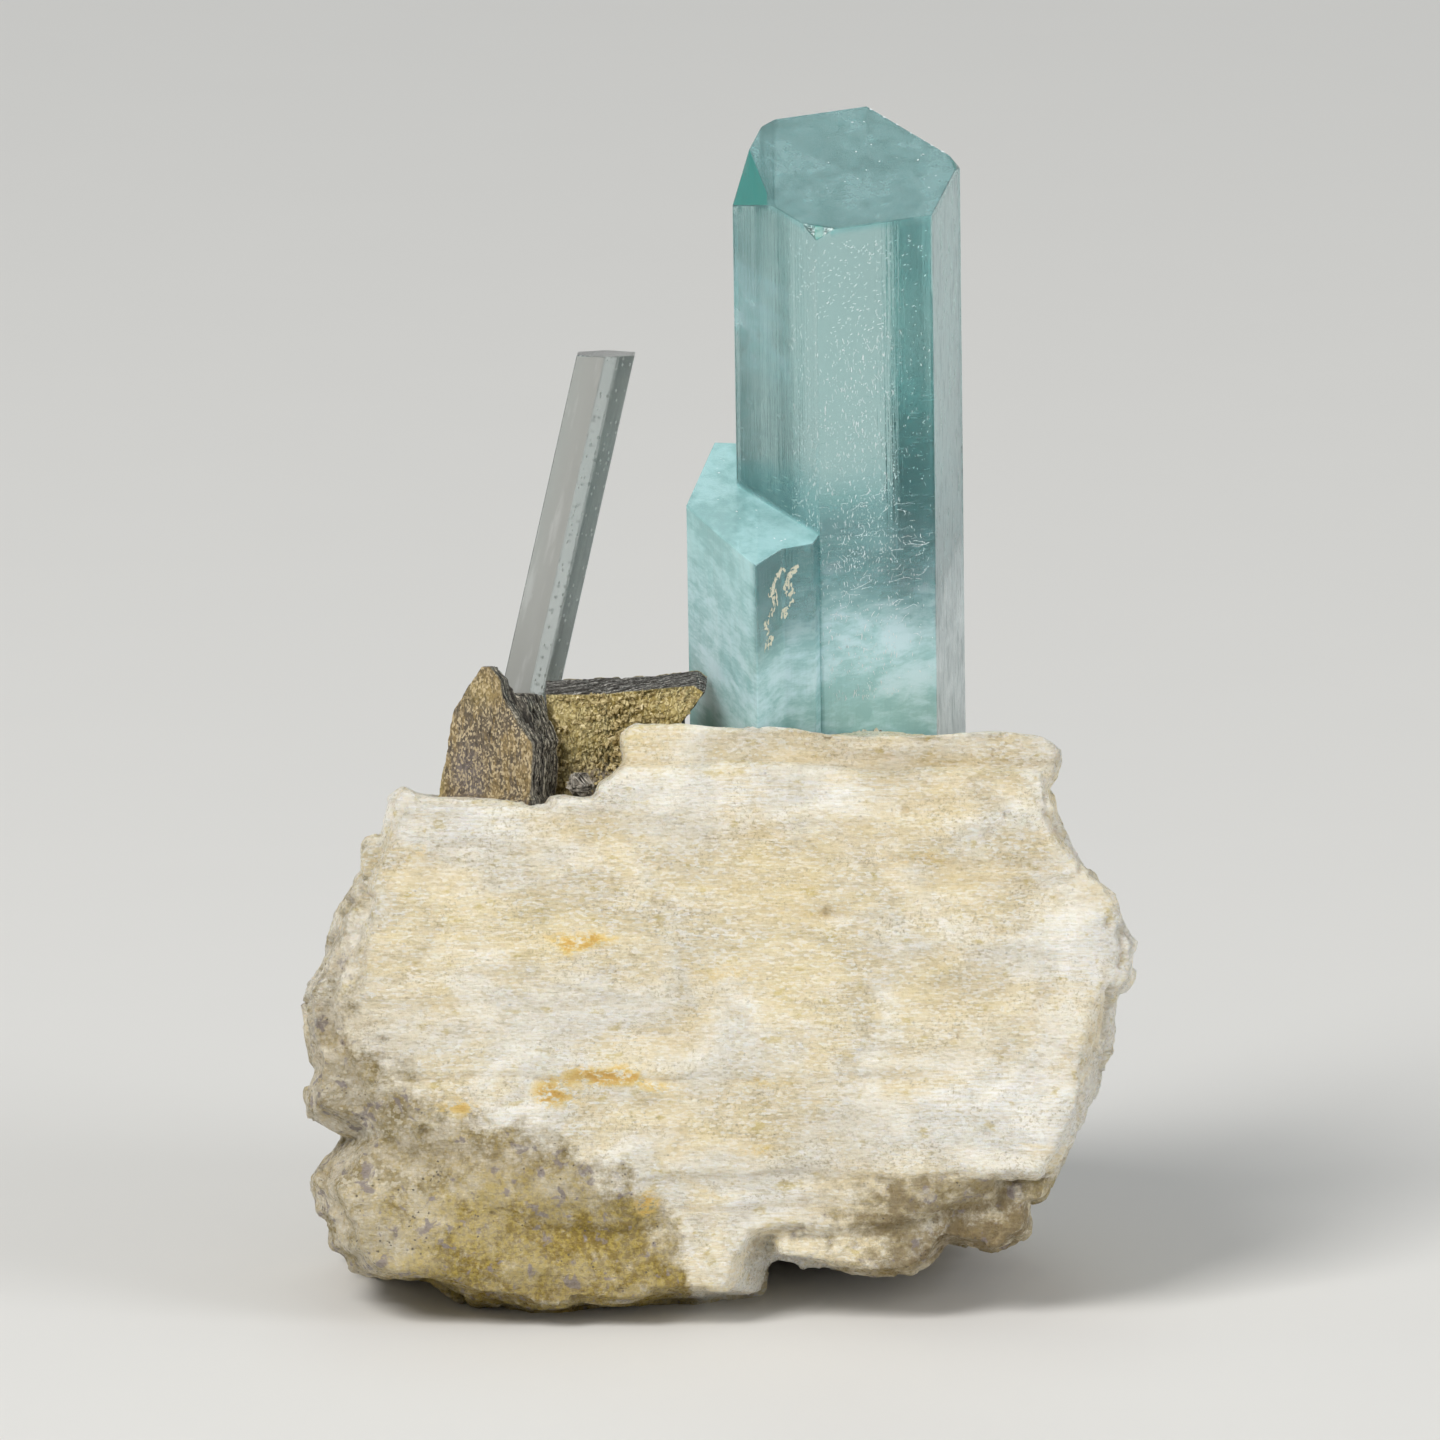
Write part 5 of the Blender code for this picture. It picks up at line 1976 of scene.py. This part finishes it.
def lying_book() -> MicaBook:
    """The book that leans on the crystals, with a grainy face.

    Returns:
        The book's sizes and finish.
    """
    stack = Vector((0.1, 2.4, 1.1))
    outline = (
        (-13.3, 37.6), (-13.3, 46.3), (-5.8, 46.6), (-1.9, 47.0), (-1.2, 46.5), (-2.0, 45.3),
        (-2.9, 44.2), (-2.9, 42.4), (-6.8, 42.2), (-7.3, 40.0), (-9.0, 37.6),
    )  # fmt: skip
    return MicaBook(
        name="lying_mica_book",
        node="mica_book_lying",
        slot=Slot.MICA_DRUSE,
        finish=MicaFinish(
            "mica_druse", face=(0.36, 0.27, 0.075), glint=(0.74, 0.63, 0.33), patch=(0.19, 0.155, 0.05),
            edge_light=(0.50, 0.48, 0.44), stack=stack.normalized(),
        ),
        outline=outline,
        low_outline=outline,
        middle=(-8.0, 43.9),
        front=2.6,
        yaw=math.radians(18.0),
        stack=stack,
        seed=340,
        rock_level=lambda points: np.where(points[:, 0] > -7.3, 43.5, 38.7),
        # Painted light on the upper left and upper right, painted shade low down by the notch between the
        # books
        light_and_shade_patches=(
            Patch(-11.8, 44.6, 2.2, 2.0, -0.9), Patch(-3.6, 45.4, 2.2, 1.0, -0.5),
            Patch(-9.4, 39.8, 2.4, 1.6, 0.9),
        ),
        relief=0.22,
    )  # fmt: skip


@dataclass
class Druse:
    """Grains of mica on the lying book's face."""

    book: MicaBook
    grains: int = 620
    seed: int = 77

    def build(self) -> Object:
        """The grains, as one mesh.

        Returns:
            The druse.
        """
        rng = np.random.default_rng(self.seed)
        rim, centre = self.book.resampled(self.book.outline), np.array(self.book.middle)
        grains = Shards()
        for _ in range(self.grains):
            corner = rim[rng.integers(len(rim))]
            flat = centre + (corner - centre) * math.sqrt(rng.uniform(0.0, 0.9))
            spot = self.book.in_space(flat[None, :], 0.0)[0] - np.array([0.0, rng.uniform(-0.1, 0.12), 0.0])
            grains.grain(spot, rng.uniform(0.10, 0.30) * rng.uniform(0.5, 1.2, 3), rng)
        finish = GrainFinish("mica_grains", (0.66, 0.55, 0.29), (0.25, 0.18, 0.06))
        made = grains.build("mica_druse_grains", WORLD_FROM_FACE, finish.material())
        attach(made, "root")
        return made


@dataclass
class FlakeRosette:
    """Thin dark flakes, grown from one point in the notch between the books."""

    centre: Vector = field(default_factory=lambda: Vector((-10.6, 3.4, 39.5)))
    radius: float = 1.12
    thickness: float = 0.07
    spacing: float = 0.13
    fans: tuple[tuple[float, float], ...] = ((0.0, 20.0), (55.0, 62.0), (118.0, 55.0), (165.0, 74.0))
    flakes_each: int = 4
    seed: int = 9

    def build(self) -> Object:
        """The flakes, as one mesh.

        Returns:
            The rosette.
        """
        rng = np.random.default_rng(self.seed)
        flakes = Shards()
        for bearing, tilt in self.fans:
            turn = Matrix.Rotation(math.radians(bearing), 3, "Z")
            turn = turn @ Matrix.Rotation(math.radians(tilt), 3, "X")
            for number in range(self.flakes_each):
                wobble = Matrix.Rotation(rng.normal(0.0, 0.10), 3, "X")
                wobble = wobble @ Matrix.Rotation(rng.normal(0.0, 0.10), 3, "Y")
                axes = np.array(turn @ wobble)
                place = number - (self.flakes_each - 1) / 2.0
                middle = np.array(self.centre) + axes[:, 2] * place * self.spacing
                self.flake(flakes, middle, axes, rng.uniform(0.85, 1.0, 6) * self.radius)
        finish = GrainFinish("dark_mica", (0.50, 0.46, 0.40), (0.035, 0.03, 0.022))
        made = flakes.build("dark_mica_flakes", WORLD_FROM_FACE, finish.material())
        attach(made, "root")
        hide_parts("mica_flakes")
        return made

    def flake(self, flakes: Shards, middle: Points, axes: Points, reach: np.ndarray) -> None:
        """Adds one six-sided flake with sharp corners.

        Args:
            flakes: Where it goes.
            middle: Its middle.
            axes: Its own three directions, as columns.
            reach: How far each corner lies from the middle.
        """
        angles = np.radians(np.arange(6) * 60.0)
        rim = np.outer(np.cos(angles) * reach, axes[:, 0]) + np.outer(np.sin(angles) * reach, axes[:, 1])
        half = axes[:, 2] * self.thickness / 2.0
        sides = [(i, (i + 1) % 6, 6 + (i + 1) % 6, 6 + i) for i in range(6)]
        caps = [tuple(range(5, -1, -1)), tuple(range(6, 12))]
        flakes.add(np.vstack([middle + rim - half, middle + rim + half]), caps + sides)


@dataclass
class ContactCrumbs:
    """Feldspar and mica crumbs that fill the corner between the crystals and the ledge."""

    pair: AquamarinePair
    rock: Object
    crumbs: int = 520
    seed: int = 31
    ray_start: float = -35.0
    buried: float = -50.0

    def build(self) -> list[Object]:
        """The pale crumbs and the dark ones.

        Returns:
            The crumbs, one piece for each kind.
        """
        rng = np.random.default_rng(self.seed)
        pale, dark = Shards(), Shards()
        ground = BVHTree.FromObject(self.rock, bpy.context.evaluated_depsgraph_get())
        for _ in range(self.crumbs):
            number = rng.integers(6)
            outward, sideways = self.pair.face_axes(number)
            size = rng.gamma(3.0, 0.045)
            foot = outward * (self.pair.face_distances[number] + 0.3 * size)
            spot = self.on_rock(foot + sideways * rng.uniform(-4.2, 4.2), ground)
            if self.pair.inside_side(np.array([spot]), -0.1)[0]:
                continue
            shards = dark if rng.uniform() < 0.14 else pale
            shards.grain(spot, size * rng.uniform(0.6, 1.3, 3), rng)
        made = []
        for name, shards, light, shade in (
            ("feldspar_crumbs", pale, (0.80, 0.74, 0.62), (0.52, 0.42, 0.27)),
            ("dark_crumbs", dark, (0.20, 0.15, 0.09), (0.05, 0.04, 0.03)),
        ):
            piece = shards.build(name, WORLD_FROM_AXIS, GrainFinish(name, light, shade).material())
            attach(piece, "root")
            made.append(piece)
        return made

    def on_rock(self, foot: Points, ground: BVHTree) -> Points:
        """Slides a place down along the axis until it meets the rock.

        Args:
            foot: A place near the contact.
            ground: The rock, ready for casting rays.

        Returns:
            The place on the rock, or one far down in it where the ray meets none.
        """
        start = WORLD_FROM_AXIS @ (Vector(foot) + Vector((0.0, 0.0, self.ray_start)))
        down = WORLD_FROM_AXIS.to_3x3() @ Vector(-UP)
        hit = ground.ray_cast(start, down.normalized())[0]
        return np.array(WORLD_FROM_AXIS.inverted() @ hit if hit else (*foot[:2], self.buried))


# ---- the studio


@dataclass
class AreaLamp:
    """One soft lamp: where it hangs, its size and its power."""

    name: str
    place: tuple[float, float, float]
    size: float
    power: float
    colour: Colour = (1.0, 1.0, 1.0)
    target: tuple[float, float, float] = (0.0, 0.0, 0.045)

    def build(self) -> Object:
        """The lamp, turned to the specimen.

        Returns:
            The lamp.
        """
        data = bpy.data.lights.new(self.name, "AREA")
        data.shape, data.size, data.energy, data.color = "SQUARE", self.size, self.power, self.colour
        lamp = linked(self.name, data)
        lamp.location = self.place
        ahead = Vector(self.target) - Vector(self.place)
        lamp.rotation_euler = ahead.to_track_quat("-Z", "Y").to_euler()
        lamp.visible_camera = False
        return lamp


@dataclass
class Studio:
    """A plain pale floor, a soft sky and three soft lamps, with the camera in front."""

    floor_reach: float = 40.0
    floor_glow: float = 0.38
    glow_reach: tuple[float, float] = (0.7, 3.2)
    floor_colour: Colour = (0.72, 0.712, 0.695)
    horizon: Colour = (0.80, 0.80, 0.79)
    overhead: Colour = (0.36, 0.37, 0.38)
    sky_strength: float = 0.7
    aim: tuple[float, float, float] = (-0.12, -13.4, 45.0)
    elevation: float = math.radians(12.0)
    distance: float = 2.4
    image_height: float = 0.1074
    sensor: float = 36.0
    veil_bounces: int = 48
    bounces: int = 16
    crystal_bounces: int = 14
    lamps: tuple[AreaLamp, ...] = (
        AreaLamp("key", (-0.75, -0.95, 1.25), 0.7, 23.0, (1.0, 0.98, 0.95)),
        AreaLamp("fill", (1.3, -0.7, 0.6), 0.8, 9.5, (0.98, 0.99, 1.0)),
        AreaLamp("top", (-0.02, 0.66, 1.14), 0.42, 0.8, (0.82, 1.0, 0.99)),
    )

    def floor(self) -> Object:
        """A wide floor, which glows a little far off so that it meets the sky softly.

        Returns:
            The floor.
        """
        shader = Shader("floor")
        spot = shader.add("ShaderNodeTexCoord", {}).outputs["Object"]
        grain = shader.noise(spot, 60.0, 3.0)
        away = shader.add("ShaderNodeVectorMath", {0: spot}, operation="LENGTH").outputs["Value"]
        shade = tuple(channel * 0.985 for channel in self.floor_colour)
        shader.set_surface(
            Base_Color=shader.blend(grain, shade, self.floor_colour), Roughness=0.85,
            Emission_Color=self.horizon,
            Emission_Strength=shader.ramp(away, *self.glow_reach, 0.0, self.floor_glow),
        )  # fmt: skip
        reach = self.floor_reach
        corners = [(-reach, -reach, 0.0), (reach, -reach, 0.0), (reach, reach, 0.0), (-reach, reach, 0.0)]
        floor = mesh_object("studio_floor", np.array(corners), [(0, 1, 2, 3)], shader.material)
        return floor

    def sky(self) -> None:
        """Pale at the horizon and darker overhead, so that clear things keep some contrast."""
        world = bpy.data.worlds.new("sky")
        world.use_nodes = True
        nodes, links = world.node_tree.nodes, world.node_tree.links
        split = nodes.new("ShaderNodeSeparateXYZ")
        links.new(nodes.new("ShaderNodeTexCoord").outputs["Generated"], split.inputs[0])
        ramp = nodes.new("ShaderNodeValToRGB")
        links.new(split.outputs[2], ramp.inputs[0])
        ramp.color_ramp.elements[0].color = (*self.horizon, 1.0)
        ramp.color_ramp.elements[1].color = (*self.overhead, 1.0)
        links.new(ramp.outputs[0], nodes["Background"].inputs[0])
        nodes["Background"].inputs[1].default_value = self.sky_strength
        bpy.context.scene.world = world

    def camera(self) -> Object:
        """The camera, level from side to side, with everything in focus.

        Returns:
            The camera.
        """
        data = bpy.data.cameras.new("camera")
        data.sensor_width = self.sensor
        data.lens = self.sensor * self.distance / self.image_height
        data.clip_start, data.clip_end = 0.05, 200.0
        camera = linked("camera", data)
        back = Vector((0.0, -math.cos(self.elevation), math.sin(self.elevation)))
        camera.location = Vector(self.aim) * MILLIMETRE + back * self.distance
        camera.rotation_euler = (-back).to_track_quat("-Z", "Y").to_euler()
        bpy.context.scene.camera = camera
        return camera

    def build(self) -> None:
        """Everything round the specimen."""
        scene = bpy.context.scene
        scene.view_settings.view_transform = "Standard"
        scene.cycles.transparent_max_bounces = self.veil_bounces
        scene.cycles.max_bounces = self.bounces
        scene.cycles.transmission_bounces = self.crystal_bounces
        self.floor()
        self.sky()
        for lamp in self.lamps:
            lamp.build()
        self.camera()


def report(pieces: Object | Iterable[Object]) -> None:
    """Says what was built."""
    for piece in [pieces] if isinstance(pieces, Object) else pieces:
        LOG.info("%s: %d faces", piece.name, len(piece.data.polygons))


def main() -> None:
    """Builds the specimen, then the studio."""
    logging.basicConfig(level=logging.INFO, format="%(message)s")
    rock = FeldsparMatrix().build()
    report(rock)
    pair, upright, lying = AquamarinePair(), upright_book(), lying_book()
    for part in (pair, Inclusions(pair), SlenderBeryl(), upright, lying, Druse(lying), FlakeRosette()):
        report(part.build())
    report(ContactCrumbs(pair, rock).build())
    Studio().build()


if __name__ == "__main__":
    main()
